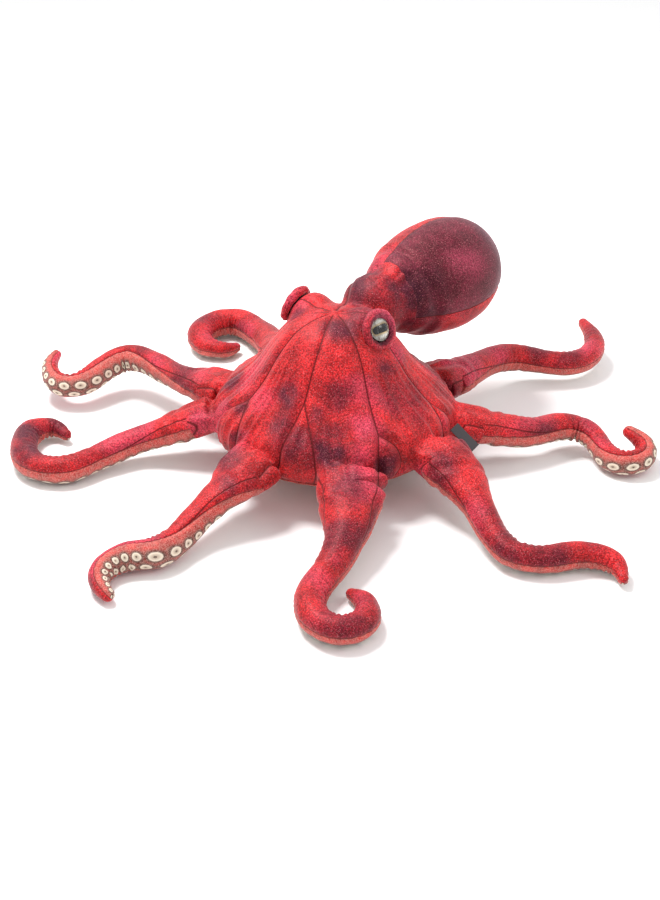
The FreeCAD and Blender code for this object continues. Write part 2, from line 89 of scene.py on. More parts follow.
# %% Lamps and sky
def make_lamp(name, place, target, size, power):
    lamp_data = bpy.data.lights.new(name, "AREA")
    lamp_data.shape = "DISK"
    lamp_data.size = size
    lamp_data.energy = power
    lamp = bpy.data.objects.new(name, lamp_data)
    lamp.location = place
    lamp.rotation_euler = (Vector(target) - Vector(place)).to_track_quat("-Z", "Y").to_euler()
    bpy.context.scene.collection.objects.link(lamp)


make_lamp("overhead_lamp", (-0.55, 0.30, 1.6), (0, 0, 0.05), 0.6, 34.0)
make_lamp("side_lamp", (1.3, -0.5, 1.3), (0, 0, 0.05), 0.8, 5.0)
sky = bpy.data.worlds.new("studio")
sky.use_nodes = True
sky.node_tree.nodes["Background"].inputs["Color"].default_value = (1.0, 1.0, 1.0, 1.0)
sky.node_tree.nodes["Background"].inputs["Strength"].default_value = 0.88
bpy.context.scene.world = sky
bpy.context.scene.view_settings.view_transform = "Standard"
print("two lamps and a white sky")


# %% Floor
def make_floor():
    bpy.ops.object.select_all(action="DESELECT")
    bpy.ops.mesh.primitive_plane_add(size=12.0, location=(0, 0, 0))
    floor = bpy.context.object
    floor.name = "floor"
    finish = bpy.data.materials.new("pale_floor")
    finish.use_nodes = True
    shader = finish.node_tree.nodes["Principled BSDF"]
    shader.inputs["Base Color"].default_value = (0.93, 0.93, 0.93, 1.0)
    shader.inputs["Roughness"].default_value = 0.6
    shader.inputs["Specular IOR Level"].default_value = 0.15
    floor.data.materials.append(finish)
    floor.location.z = CAD_BOX[0][2] - 0.0005
    return floor


make_floor()
print("floor at", round(CAD_BOX[0][2], 4))

# %% [markdown]
# ## The arms' centre lines
# Each arm is a stuffed tube that follows a smooth line. The points are the CAD routes: x, y, z and the
# radius, in millimetres, from the root fold to the tip. With each route go the number of the point where
# the arm folds, how far its velour back rolls over, and half the width of its root, which spreads into
# the skirt.

# %% Arm routes
ARMS = {
    1: ([(14, -150, 46, 22), (12, -180, 37, 22), (6, -215, 27, 19), (-8, -245, 19, 16.5),
         (-22, -275, 16, 16), (-20, -305, 15.5, 15.5), (-3, -323, 15, 15), (18, -321, 14.5, 14.5),
         (29, -300, 13.5, 13.5), (25, -278, 11.5, 11), (15, -262, 8, 7)], 3, (0, 0, 0), 35),
    2: ([(-92, -119, 47, 20), (-110, -138, 39, 17), (-130, -160, 29, 15.5), (-150, -188, 19, 16),
         (-170, -207, 16.5, 16.5), (-193, -211, 15.5, 15.5), (-212, -223, 13.5, 13.5),
         (-218, -243, 11.5, 11.5), (-208, -263, 9, 8)], 3, (0, 70, 130), 32),
    3: ([(-150, -1, 44, 19), (-173, -2, 35, 17), (-198, -5, 27, 15.5), (-224, -15, 21, 15.5),
         (-250, -33, 17, 15), (-275, -50, 15.5, 15.5), (-301, -50, 15.5, 15.5), (-323, -28, 15.5, 15.5),
         (-330, 2, 15.5, 15.5), (-325, 30, 15, 14.5), (-306, 41, 13, 11.5),
         (-291, 31, 10, 7.5)], 4, (10, 20, 0), 27),
    4: ([(-135, 66, 50, 19), (-158, 83, 47, 17), (-185, 108, 46, 16), (-213, 137, 46, 16),
         (-238, 150, 43, 16.5), (-262, 136, 36, 16), (-282, 117, 29, 15.5), (-303, 115, 26, 14),
         (-320, 131, 29, 12), (-325, 153, 34, 9.5), (-321, 170, 37, 7)], 4, (0, 60, 120), 27),
    5: ([(-58, 138, 46, 20), (-63, 165, 39, 20), (-70, 200, 30, 20), (-80, 240, 23, 19),
         (-97, 275, 19, 18.5), (-123, 300, 18, 18), (-150, 293, 17, 17), (-163, 266, 16.5, 16.5),
         (-154, 240, 14.5, 14), (-133, 234, 12, 11), (-119, 247, 9, 7)], 4, (0, 0, 0), 33),
    6: ([(124, 84, 50, 20), (142, 105, 47, 18.5), (162, 130, 43, 17.5), (187, 158, 38, 17),
         (214, 171, 33, 16.5), (248, 171, 27, 15), (278, 176, 24, 15), (301, 198, 25, 14.5),
         (309, 235, 28, 12), (302, 268, 31, 7.5)], 4, (0, 0, 0), 30),
    7: ([(149, -14, 46, 19), (178, -9, 38, 18), (210, -1, 32, 16.5), (238, 14, 29, 16), (260, 16, 26, 15),
         (276, 0, 21, 14), (284, -23, 16, 14), (302, -38, 15, 14), (322, -30, 16, 13), (327, -6, 19, 11.5),
         (315, 13, 23, 8)], 4, (0, -20, -120), 24),
    8: ([(113, -98, 48, 20), (126, -122, 42, 19), (138, -150, 33, 17), (150, -182, 22, 15),
         (168, -209, 16, 15), (195, -215, 14.5, 14.5), (223, -209, 14.5, 14.5), (245, -209, 13.5, 13.5),
         (262, -219, 12, 11.5), (266, -238, 9, 7)], 4, (0, 0, 0), 33),
}
WEB_LENGTH = 60 * MM     # over this length the root narrows to the arm's own width
RING_STEP = 4 * MM
AROUND = 32              # points round the tube, before it is refined
INWARD = 24 * MM         # how far each tube also runs back into the skirt
print(len(ARMS), "arms")


# %% Smooth lines
def smooth_line(points):
    """A smooth curve through points, as a thousand samples, with the distance along it at each sample."""
    p = np.array(points, float)
    t = np.concatenate([[0], np.cumsum(np.linalg.norm(np.diff(p[:, :3], axis=0), axis=1))])
    h, count = np.diff(t), len(t)
    lhs, rhs = np.eye(count), np.zeros_like(p)
    for i in range(1, count - 1):
        lhs[i, i - 1:i + 2] = h[i - 1], 2 * (h[i - 1] + h[i]), h[i]
        rhs[i] = 6 * ((p[i + 1] - p[i]) / h[i] - (p[i] - p[i - 1]) / h[i - 1])
    bend = np.linalg.solve(lhs, rhs)
    u = np.linspace(0, t[-1], 1000)
    k = np.clip(np.searchsorted(t, u, side="right") - 1, 0, count - 2)
    a, b, w = (t[k + 1] - u)[:, None], (u - t[k])[:, None], h[k][:, None]
    line = (bend[k] * a ** 3 + bend[k + 1] * b ** 3) / (6 * w)
    line += (p[k] / w - bend[k] * w / 6) * a + (p[k + 1] / w - bend[k + 1] * w / 6) * b
    along = np.concatenate([[0], np.cumsum(np.linalg.norm(np.diff(line[:, :3], axis=0), axis=1))])
    marks = np.interp(t, u, along)
    return line, along, marks


def unit(v):
    return v / np.linalg.norm(v, axis=-1, keepdims=True)


def turned(v, axis, angle):
    """v turned about a unit axis, by the right-hand rule."""
    c, s = np.cos(angle)[:, None], np.sin(angle)[:, None]
    return v * c + np.cross(axis, v) * s + axis * (np.sum(axis * v, axis=1)[:, None]) * (1 - c)


# %% [markdown]
# ## Tubes of rings
# A tube is kept as a grid of points, ring after ring, so that cloth simulation, wrinkles, seams and the
# printed pattern all know where along and round the arm they are. Ring by ring is how a sewer would mark
# the cloth, too.

# %% Arm grids
def arm_tube(number):
    """The grid of an arm and its frame: centres, tangents, backs, sides, radii and distances."""
    route, fold, rolls, root_width = ARMS[number]
    line, along, marks = smooth_line(np.array(route) * MM)
    total, tip_radius = along[-1], route[-1][3] * MM
    body = np.arange(-INWARD, total, RING_STEP)
    cap = total + tip_radius * np.sin(np.linspace(0, math.pi / 2, 7))
    s = np.concatenate([body[body < total - RING_STEP / 2], cap])
    centre = np.stack([np.interp(s, along, line[:, i]) for i in range(3)], axis=1)
    first, last = unit(line[1, :3] - line[0, :3]), unit(line[-1, :3] - line[-2, :3])
    centre += np.minimum(s, 0)[:, None] * first + np.maximum(s - total, 0)[:, None] * last
    tangent = np.stack([np.interp(s, along, np.gradient(line[:, i], along)) for i in range(3)], axis=1)
    tangent = unit(tangent)
    roll = np.radians(np.interp(s, [0, marks[fold], total], rolls))
    up = unit(np.array([0, 0, 1.0]) - tangent * tangent[:, 2:3])
    back = turned(up, tangent, roll)
    side = np.cross(tangent, back)
    radius = np.interp(s, marks, [p[3] * MM for p in route])
    rounding = np.sqrt(np.clip(1 - (np.maximum(s - total, 0) / tip_radius) ** 2, 0, 1))
    width = radius + (root_width - route[0][3]) * MM * np.clip(1 - np.maximum(s, 0) / WEB_LENGTH, 0, 1)
    return dict(s=s, centre=centre, tangent=tangent, back=back, side=side, number=number,
                radius=radius * rounding, width=width * rounding, fold=marks[fold], total=total)


def ring_points(tube, shrink=0.0):
    angle = np.linspace(0, 2 * math.pi, AROUND, endpoint=False)
    high = np.maximum(tube["radius"] - shrink, 0)[:, None, None] * np.cos(angle)[None, :, None]
    wide = np.maximum(tube["width"] - shrink, 0)[:, None, None] * np.sin(angle)[None, :, None]
    return tube["centre"][:, None] + high * tube["back"][:, None] + wide * tube["side"][:, None]


tubes = {n: arm_tube(n) for n in ARMS}
for n, tube in tubes.items():
    print("arm", n, "is", round(tube["total"], 3), "m long, in", len(tube["s"]), "rings")


# %% Meshes from grids
def object_from(name, verts, faces):
    mesh = bpy.data.meshes.new(name)
    mesh.from_pydata([tuple(v) for v in verts], [], faces)
    made = bpy.data.objects.new(name, mesh)
    bpy.context.scene.collection.objects.link(made)
    return made


def closed_tube(grid):
    """Vertices and faces of a grid of rings, with a flat first end and a last ring drawn to a point."""
    rings, around = grid.shape[:2]
    verts = list(grid[:-1].reshape(-1, 3)) + [grid[-1].mean(axis=0)]
    faces = [tuple(range(around - 1, -1, -1))]
    for i in range(rings - 2):
        for j in range(around):
            k = (j + 1) % around
            faces.append((i * around + j, i * around + k, (i + 1) * around + k, (i + 1) * around + j))
    base, pole = (rings - 2) * around, len(verts) - 1
    faces += [(base + j, base + (j + 1) % around, pole) for j in range(around)]
    return verts, faces


# %% [markdown]
# ## The mantle
# The bag behind the head is a pear turned about its own axis, three panels sewn edge to edge. It starts as
# a grid of rings like the arms, along the axis from the neck.

# %% Mantle grid
NECK = np.array([42, 54, 154]) * MM
MANTLE_AXIS = unit(np.array([0.70, 0.70, 0.025]))
MANTLE_OUTLINE = [(2, 30), (12, 34), (30, 44), (65, 57.5), (103, 61.5), (142, 53), (160, 40.5), (171, 25),
                  (177, 0)]
MANTLE_SEAMS = (-14, 106, 226)


def mantle_tube():
    outline = np.array(MANTLE_OUTLINE, float) * MM
    line, along, marks = smooth_line(np.stack([outline[:, 0], outline[:, 1], outline[:, 0] * 0], axis=1))
    count = int(along[-1] / RING_STEP)
    even = np.linspace(0, along[-1], count)
    s, radius = np.interp(even, along, line[:, 0]), np.maximum(np.interp(even, along, line[:, 1]), 0)
    radius[-1] = 0
    up = unit(np.array([0, 0, 1.0]) - MANTLE_AXIS * MANTLE_AXIS[2])
    side = np.cross(MANTLE_AXIS, up)
    ones = np.ones((count, 1))
    return dict(s=s, centre=NECK + s[:, None] * MANTLE_AXIS, tangent=ones * MANTLE_AXIS, back=ones * up,
                side=ones * side, radius=radius, width=radius.copy(), along=even, number=0)


mantle = mantle_tube()
print("mantle in", len(mantle["s"]), "rings")

# %% [markdown]
# ## One skin for skirt and head
# On the real puppet the gores run from the crown down into the arms without a step. So the CAD solids of
# the skirt and head, the roots of the arms and the neck of the mantle are copied, joined and remeshed into
# one skin, smoothed, and later cut where the arms and the mantle fold. Modelling eight gores one by one
# would leave gaps at the crown.

# %% Copy the solids
SKIN_NODES = [f"body_gore_{n}" for n in range(1, 9)]
SKIN_NODES += ["body_padding", "head_panels", "head_stuffing", "eye_turret_left", "eye_turret_right"]
VOXEL = 3 * MM
STUB = 36 * MM           # length of arm that is remeshed with the skirt


def add_ball(bm, centre, radius):
    """A ball as filling, where a socket or a gap between solids must not show in the skin."""
    made = bmesh.ops.create_icosphere(bm, subdivisions=4, radius=radius)
    bmesh.ops.translate(bm, verts=made["verts"], vec=Vector(centre))


def add_grid(bm, grid):
    verts, faces = closed_tube(grid)
    new = [bm.verts.new(v) for v in verts]
    for face in faces:
        bm.faces.new([new[i] for i in face])


def add_web(bm, a, b, sag):
    """The cloth between two arms: a flat wedge from the skirt to a hollow edge from arm a to arm b."""
    ends = []
    for tube, way in ((tubes[a], 1), (tubes[b], -1)):
        k = int(np.argmin(np.abs(tube["s"] + 2 * MM)))
        edge = tube["centre"][k] + tube["side"][k] * tube["width"][k] * 0.55 * way
        ends.append(edge)
    middle = (ends[0] + ends[1]) / 2
    inward = -unit(middle * np.array([1, 1, 0]))
    outer = []
    for t in np.linspace(0, 1, 9):
        outer.append(ends[0] * (1 - t) + ends[1] * t + inward * sag * MM * 4 * t * (1 - t))
    inner = [np.array([0.62, 0.62, 1]) * outer[0], np.array([0.62, 0.62, 1]) * outer[-1]]
    outline = outer + inner[::-1]
    rims = []
    for lift in (-11 * MM, 11 * MM):
        rims.append([bm.verts.new(p + np.array([0, 0, lift])) for p in outline])
    count = len(outline)
    flat = [rims[0], rims[1][::-1]]
    for rim in flat:
        bm.faces.new(rim)
    for i in range(count):
        k = (i + 1) % count
        bm.faces.new((rims[0][k], rims[0][i], rims[1][i], rims[1][k]))


WEBS = [(1, 2, 22), (2, 3, 9), (3, 4, 5), (4, 5, 8), (6, 7, 6), (7, 8, 6), (8, 1, 9)]


def add_collar(bm, inner, outer, low, high):
    """A ring that bridges the gap at which the head turns."""
    rows = []
    for radius, height in ((inner, low), (outer, low), (outer, high), (inner, high)):
        angles = np.linspace(0, 2 * math.pi, 64, endpoint=False)
        rows.append([bm.verts.new((radius * math.cos(a), radius * math.sin(a), height)) for a in angles])
    for i in range(4):
        for j in range(64):
            k, m = (i + 1) % 4, (j + 1) % 64
            bm.faces.new((rows[i][j], rows[i][m], rows[k][m], rows[k][j]))


def gather_skin():
    bm = bmesh.new()
    for name in SKIN_NODES:
        bm.from_mesh(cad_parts[name].data)
    add_ball(bm, NECK, 34.5 * MM)
    for tube in tubes.values():
        near = tube["s"] < STUB
        add_grid(bm, ring_points(tube)[near])
    near = mantle["s"] < 50 * MM
    add_grid(bm, ring_points(mantle)[near])
    add_collar(bm, 36.5 * MM, 72 * MM, 113 * MM, 123 * MM)
    mesh = bpy.data.meshes.new("skin")
    bm.to_mesh(mesh)
    bm.free()
    made = bpy.data.objects.new("body_skin", mesh)
    bpy.context.scene.collection.objects.link(made)
    return made


def activate(obj):
    bpy.ops.object.select_all(action="DESELECT")
    obj.select_set(True)
    bpy.context.view_layer.objects.active = obj


def apply_all(obj):
    activate(obj)
    for modifier in list(obj.modifiers):
        bpy.ops.object.modifier_apply(modifier=modifier.name)


body_skin = gather_skin()
remesh = body_skin.modifiers.new("remesh", "REMESH")
remesh.mode = "VOXEL"
remesh.voxel_size = VOXEL
apply_all(body_skin)
print("skin of", len(body_skin.data.vertices), "points")


# %% [markdown]
# ## Smooth, then let the stuffing push
# The remeshed skin is relaxed so that the joins become soft hollows, as sewn cloth does between two arms.
# Then the skin, the arms and the mantle are all made of cloth for twenty frames, with a little pressure
# inside and no gravity, so that they fill out between their folds as stuffed cloth does. A cap keeps every
# point within a few millimetres of where the CAD solid has it.

# %% Keep the outer shell and relax it
def keep_largest_shell(obj):
    """Deletes closed pockets inside the skin, which nobody sees."""
    bm = bmesh.new()
    bm.from_mesh(obj.data)
    left, shells = set(bm.verts), []
    while left:
        stack, shell = [left.pop()], []
        while stack:
            v = stack.pop()
            shell.append(v)
            for e in v.link_edges:
                other = e.other_vert(v)
                if other in left:
                    left.discard(other)
                    stack.append(other)
        shells.append(shell)
    shells.sort(key=len)
    for shell in shells[:-1]:
        bmesh.ops.delete(bm, geom=shell, context="VERTS")
    bm.to_mesh(obj.data)
    bm.free()
    return len(shells)


def relax(obj, factor, times):
    smooth = obj.modifiers.new("relax", "SMOOTH")
    smooth.factor = factor
    smooth.iterations = times
    apply_all(obj)


print("shells found:", keep_largest_shell(body_skin))
relax(body_skin, 0.5, 12)


# %% Read and write points
def points_of(mesh):
    flat = np.empty(len(mesh.vertices) * 3, np.float32)
    mesh.vertices.foreach_get("co", flat)
    return flat.reshape(-1, 3).astype(float)


def set_points(mesh, points):
    mesh.vertices.foreach_set("co", np.ascontiguousarray(points, np.float32).ravel())
    mesh.update()


def normals_of(mesh):
    flat = np.empty(len(mesh.vertices) * 3, np.float32)
    mesh.vertex_normals.foreach_get("vector", flat)
    return flat.reshape(-1, 3).astype(float)


# %% Cloth under pressure
FRAMES = 20
PRESSURE = 4.0


def hold(obj, held):
    group = obj.vertex_groups.new(name="hold")
    group.add([int(i) for i in np.nonzero(held)[0]], 1.0, "REPLACE")
    return group


def add_cloth(obj, held):
    cloth = obj.modifiers.new("cloth", "CLOTH")
    settings = cloth.settings
    settings.quality = 4
    settings.mass = 0.2
    settings.tension_stiffness = 12
    settings.compression_stiffness = 12
    settings.shear_stiffness = 4
    settings.bending_stiffness = 0.3
    settings.use_pressure = True
    settings.uniform_pressure_force = PRESSURE
    settings.effector_weights.gravity = 0.0
    settings.vertex_group_mass = hold(obj, held).name
    cloth.collision_settings.use_collision = False
    cloth.point_cache.frame_start = 1
    cloth.point_cache.frame_end = FRAMES


def run_cloth(objects, cap):
    """Steps the cloth of all objects together, and keeps each point within cap of its start."""
    scene = bpy.context.scene
    scene.frame_start, scene.frame_end = 1, FRAMES
    starts = [points_of(obj.data) for obj, held in objects]
    for obj, held in objects:
        add_cloth(obj, held)
    for frame_number in range(1, FRAMES + 1):
        scene.frame_set(frame_number)
    graph = bpy.context.evaluated_depsgraph_get()
    for (obj, held), start in zip(objects, starts):
        moved = points_of(obj.evaluated_get(graph).data) - start
        length = np.linalg.norm(moved, axis=1, keepdims=True)
        moved *= np.minimum(1, cap / np.maximum(length, 1e-9))
        obj.modifiers.clear()
        obj.vertex_groups.clear()
        set_points(obj.data, start + moved)
        print(obj.name, "moved by", round(float(length.mean()) * 1000, 2), "mm on average")
    scene.frame_set(1)


SLACK = 1.2 * MM         # the tubes start this much thinner, because they swell
CAP = 3.0 * MM


def tube_object(name, tube, shrink):
    verts, faces = closed_tube(ring_points(tube, shrink))
    return object_from(name, verts, faces)


def grid_from(obj, rings):
    """The grid of rings again, from a tube object's vertices."""
    points = points_of(obj.data)
    grid = points[:(rings - 1) * AROUND].reshape(rings - 1, AROUND, 3)
    pole = np.repeat(points[-1][None, None], AROUND, axis=1)
    return np.concatenate([grid, pole])


soft = {n: tube_object(f"tube_{n}", t, SLACK) for n, t in {**tubes, 0: mantle}.items()}
skin_points = points_of(body_skin.data)
radial = np.hypot(skin_points[:, 0], skin_points[:, 1])
in_cavity = (radial < 52 * MM) & (skin_points[:, 2] < 118 * MM)
low = skin_points[:, 2] < 22 * MM
set_points(body_skin.data, skin_points - normals_of(body_skin.data) * SLACK * (~in_cavity)[:, None])
jobs = [(body_skin, in_cavity | low)]
for n, obj in soft.items():
    tube = tubes.get(n, mantle)
    held = np.zeros(len(obj.data.vertices), bool)
    held[:AROUND * 2] = True
    jobs.append((obj, held))
run_cloth(jobs, CAP)
grids = {}
for n, obj in soft.items():
    grids[n] = grid_from(obj, len(tubes.get(n, mantle)["s"]))
    bpy.data.objects.remove(obj)
print("cloth done")

# %% [markdown]
# ## Seams and folds of the skin
# Each gore's seam runs from the crown down to between two arms, and there it forks, one branch along each
# arm, with a small gusset between them. A seam draws the pile in, so it is a fine groove with a dark line.
# Folds run outwards from the head, where the cloth has more width than it needs. They are moved into the
# mesh itself, so that the shape shows them from every side.

# %% Seam lines, seen from above
GORE_SEAMS = [-63.0, -106.0, -153.0, -193.0, -226.5, -286.5, -345.5, -383.0]
FORKS = {1: (-67.0, 109), 2: (-111.0, 84), 3: (-153.0, 98), 4: (-193.0, 104), 5: (-226.5, 102),
         6: (-286.5, 100), 7: (-345.5, 106), 8: (-383.0, 104)}
LINE_ANGLE = 52.0        # where a branch enters the arm, in degrees from the middle of its back


def flat_point(angle, radius):
    return np.array([math.cos(math.radians(angle)), math.sin(math.radians(angle))]) * radius * MM


def arm_side(n, way):
    """Where a gusset seam reaches arm n at its root fold, from above."""
    tube = tubes[n]
    k = int(np.argmin(np.abs(tube["s"])))
    reach = math.sin(math.radians(LINE_ANGLE)) * tube["width"][k]
    return (tube["centre"][k] + way * tube["side"][k] * reach)[:2]


def seam_segments():
    pieces = []
    for k, angle in enumerate(GORE_SEAMS, start=1):
        fork = flat_point(*FORKS[k])
        half_way = flat_point((angle * 2 + FORKS[k][0]) / 3, FORKS[k][1] * 0.55)
        pieces += [(flat_point(angle, 5), half_way), (half_way, fork)]
        for n, way in (((k - 2) % 8 + 1, 1), (k, -1)):
            pieces.append((fork, arm_side(n, way)))
    return np.array(pieces)


SEGMENTS = seam_segments()


def seam_distance(points):
    """The distance from each point to the nearest seam seen from above, and which segment that is."""
    a, b = SEGMENTS[:, 0], SEGMENTS[:, 1]
    along = b - a
    rel = points[:, None, :2] - a
    t = np.clip(np.sum(rel * along, axis=2) / np.sum(along * along, axis=1), 0, 1)
    gap = np.linalg.norm(rel - t[:, :, None] * along, axis=2)
    nearest = np.argmin(gap, axis=1)
    return gap[np.arange(len(points)), nearest], nearest


# %% Folds
def noise_at(points, scale, offset=0.0):
    """Smooth noise from -1 to 1. scale is one number, or one for each direction."""
    places = points * np.array(scale, float) + offset
    return np.array([noise.noise(Vector(p)) for p in places])


def ramp(x, low, high):
    t = np.clip((x - low) / (high - low), 0, 1)
    return t * t * (3 - 2 * t)


def radial_folds(p):
    """Folds that run outwards and down the skirt, in metres of height."""
    angle, radius = np.arctan2(p[:, 1], p[:, 0]), np.hypot(p[:, 0], p[:, 1])
    round_it = np.stack([np.cos(angle) * 4.6, np.sin(angle) * 4.6, radius * 9 + p[:, 2] * 5], axis=1)
    broad = noise_at(round_it, 1.0, 3.1)
    fine = noise_at(round_it * np.array([2.1, 2.1, 1.6]), 1.0, 9.7)
    ridge = 1 - np.abs(fine) * 2.4
    return (broad * 3.4 + np.clip(ridge, -1, 1) * 2.0) * MM * ramp(radius, 45 * MM, 105 * MM)


def shape_skin(obj):
    """Moves the folds, lumps and seams into the skin."""
    p, normal = points_of(obj.data), normals_of(obj.data)
    radius = np.hypot(p[:, 0], p[:, 1])
    outside = 1 - ramp(-p[:, 2], -30 * MM, -20 * MM)
    outside *= ramp(radius, 38 * MM, 50 * MM) + ramp(p[:, 2], 120 * MM, 150 * MM) * (radius < 50 * MM)
    outside = np.clip(outside, 0, 1) * ramp(normal[:, 2], -0.75, -0.35)
    height = radial_folds(p) + noise_at(p, 19.0, 1.3) * 1.3 * MM + noise_at(p, 52.0, 7.7) * 0.55 * MM
    gap = seam_distance(p)[0]
    groove = np.exp(-(gap / (2.4 * MM)) ** 2) * 1.3 * MM
    swell = np.exp(-((gap - 9 * MM) / (7 * MM)) ** 2) * 0.6 * MM
    height = height * ramp(gap, 0, 7 * MM) + swell - groove
    near_eye = np.zeros(len(p))
    for centre, _ in EYES.values():
        near_eye = np.maximum(near_eye, 1 - ramp(np.linalg.norm(p - centre, axis=1), 15 * MM, 27 * MM))
    height *= 1 - near_eye
    set_points(obj.data, p + normal * (height * outside)[:, None])


EYES = {}
for name, centre, look in (("left", (28, -6, 150), (0.62, -0.65, 0.43)),
                           ("right", (-22, 38, 145), (-0.73, 0.52, 0.43))):
    direction = unit(np.array(look))
    EYES[name] = (np.array(centre) * MM + direction * 25 * MM, direction)
refine = body_skin.modifiers.new("refine", "SUBSURF")
refine.levels = refine.render_levels = 1
apply_all(body_skin)
shape_skin(body_skin)
print("skin now has", len(body_skin.data.polygons), "faces")

# %% [markdown]
# ## The arms take the skin's shape at their roots
# Where an arm leaves the skirt its first rings are moved onto the skin, so that nothing steps at the fold.
# Further out they keep their own shape. Then come each arm's own wrinkles: across it at the inside of a
# bend, puckers along the side seams, and soft lumps of stuffing.


# %% Refine and fit the rings
def refined(grid):
    """Twice as many rings and twice as many points round, on the same smooth surface."""
    def between(a, b, c, d):
        return (9 * (b + c) - a - d) / 16
    around = between(np.roll(grid, 1, 1), grid, np.roll(grid, -1, 1), np.roll(grid, -2, 1))
    wide = np.stack([grid, around], axis=2).reshape(len(grid), -1, 3)
    padded = np.concatenate([2 * wide[:1] - wide[1:2], wide, 2 * wide[-1:] - wide[-2:-1]])
    middle = between(padded[:-3], padded[1:-2], padded[2:-1], padded[3:])
    out = np.empty((len(wide) * 2 - 1, wide.shape[1], 3))
    out[0::2], out[1::2] = wide, middle
    return out


def halved(values):
    """The values along a tube, with one more between each two."""
    out = np.repeat(np.asarray(values, float), 2, axis=0)[:-1].copy()
    out[1::2] = (np.asarray(values)[:-1] + np.asarray(values)[1:]) / 2
    return out


def refine_tube(tube):
    for key in ("s", "centre", "tangent", "back", "side", "radius", "width", "along"):
        if key in tube:
            tube[key] = halved(tube[key])


def skin_tree():
    graph = bpy.context.evaluated_depsgraph_get()
    return BVHTree.FromObject(body_skin, graph)


def fit_roots(grid, tube, tree, start, reach):
    """Moves the rings from start on to the skin, less and less over reach."""
    for i, s in enumerate(tube["s"]):
        weight = 1 - ramp(s, start, start + reach)
        if s < start - 1e-6 or weight <= 0:
            continue
        centre = grid[i].mean(axis=0)
        for j in range(grid.shape[1]):
            way = grid[i, j] - centre
            length = np.linalg.norm(way)
            if length < 1e-6:
                continue
            hit = tree.ray_cast(Vector(centre), Vector(way / length), length * 2.2)
            if hit[0] is not None:
                grid[i, j] = centre + way / length * (length * (1 - weight) + hit[3] * weight)


def grid_normals(grid):
    along = np.gradient(grid, axis=0)
    around = np.roll(grid, -1, 1) - np.roll(grid, 1, 1)
    normal = np.cross(around, along)
    return normal / np.maximum(np.linalg.norm(normal, axis=2, keepdims=True), 1e-12)


WRINKLE_LENGTH = 8.5 * MM    # from one cross wrinkle to the next at the inside of a bend
PUCKER_LENGTH = 6.5 * MM     # from one pucker to the next along a side seam


def shape_arm(grid, tube):
    """The wrinkles, puckers and lumps of an arm, moved into its rings."""
    rings, count = grid.shape[:2]
    angle = np.linspace(0, 2 * math.pi, count, endpoint=False)
    s, r = tube["s"][:, None], np.maximum(tube["radius"], 2 * MM)[:, None]
    bend = np.gradient(tube["tangent"], axis=0) / np.maximum(np.gradient(tube["s"]), 1e-6)[:, None]
    way = grid - tube["centre"][:, None]
    way /= np.maximum(np.linalg.norm(way, axis=2, keepdims=True), 1e-9)
    inner = np.clip(np.einsum("ijk,ik->ij", way, bend) * r, 0, 0.9)
    flat = grid.reshape(-1, 3)
    wander = noise_at(flat, 30.0, 5.0).reshape(rings, count)
    cross = np.sin(2 * math.pi * s / WRINKLE_LENGTH + wander * 5) * inner * 2.2 * MM
    lumps = noise_at(flat, 34.0, tube["number"] * 3.3).reshape(rings, count) * 1.1 * MM
    small = noise_at(flat, 95.0, 2.0).reshape(rings, count) * 0.4 * MM
    seam = np.minimum(np.abs(angle - math.pi / 2), np.abs(angle - 3 * math.pi / 2))[None] * r
    pucker = np.sin(2 * math.pi * s / PUCKER_LENGTH + angle[None] * 2) * 0.4 * MM
    pucker *= np.exp(-(seam / (4 * MM)) ** 2)
    pinch = np.exp(-(seam / (2.0 * MM)) ** 2) * 1.1 * MM
    crease = np.exp(-((s - tube["fold"]) / (2.6 * MM)) ** 2) * 1.6 * MM
    crease = crease * (0.35 + 0.65 * np.clip(inner * 3, 0, 1))
    roots = np.exp(-((s - 16 * MM) / (16 * MM)) ** 2) * np.sin(s / (3.2 * MM) + angle[None] * 3 + wander * 4)
    height = cross + lumps + small + pucker - pinch - crease + roots * 0.9 * MM
    fade = ramp(s, 0, 12 * MM) * ramp(tube["radius"], 1 * MM, 8 * MM)[:, None]
    grid += grid_normals(grid) * (height * fade)[:, :, None]


tree = skin_tree()
for n, tube in tubes.items():
    grids[n] = refined(grids[n])
    refine_tube(tube)
    fit_roots(grids[n], tube, tree, 0.0, 24 * MM)
    shape_arm(grids[n], tube)
print("arms shaped")

# %% The mantle's own shape
MANTLE_CUT = 22 * MM


def shape_mantle(grid, tube):
    rings, count = grid.shape[:2]
    angle = np.degrees(np.linspace(0, 2 * math.pi, count, endpoint=False))
    s, r = tube["s"][:, None], np.maximum(tube["radius"], 2 * MM)[:, None]
    flat = grid.reshape(-1, 3)
    broad = noise_at(flat, 15.0, 4.4).reshape(rings, count) * 2.0 * MM
    small = noise_at(flat, 48.0, 8.8).reshape(rings, count) * 0.6 * MM
    wander = noise_at(flat, 22.0, 6.0).reshape(rings, count)
    neck = np.exp(-((s - 38 * MM) / (15 * MM)) ** 2) * np.sin(s / (3.6 * MM) + wander * 3.5) * 1.7 * MM
    height = broad + small + neck
    for seam in MANTLE_SEAMS:
        gap = np.abs((angle - seam + 180) % 360 - 180)[None] * math.pi / 180 * r
        height = height * ramp(gap, 0, 7 * MM) - np.exp(-(gap / (2.4 * MM)) ** 2) * 1.5 * MM
        height += np.exp(-(gap / (4 * MM)) ** 2) * np.sin(s / (1.9 * MM)) * 0.3 * MM
    fade = ramp(s, MANTLE_CUT, MANTLE_CUT + 14 * MM) * ramp(tube["radius"], 0, 25 * MM)[:, None]
    grid += grid_normals(grid) * (height * fade)[:, :, None]


grids[0] = refined(grids[0])
refine_tube(mantle)
fit_roots(grids[0], mantle, tree, MANTLE_CUT, 18 * MM)
shape_mantle(grids[0], mantle)
print("mantle shaped")

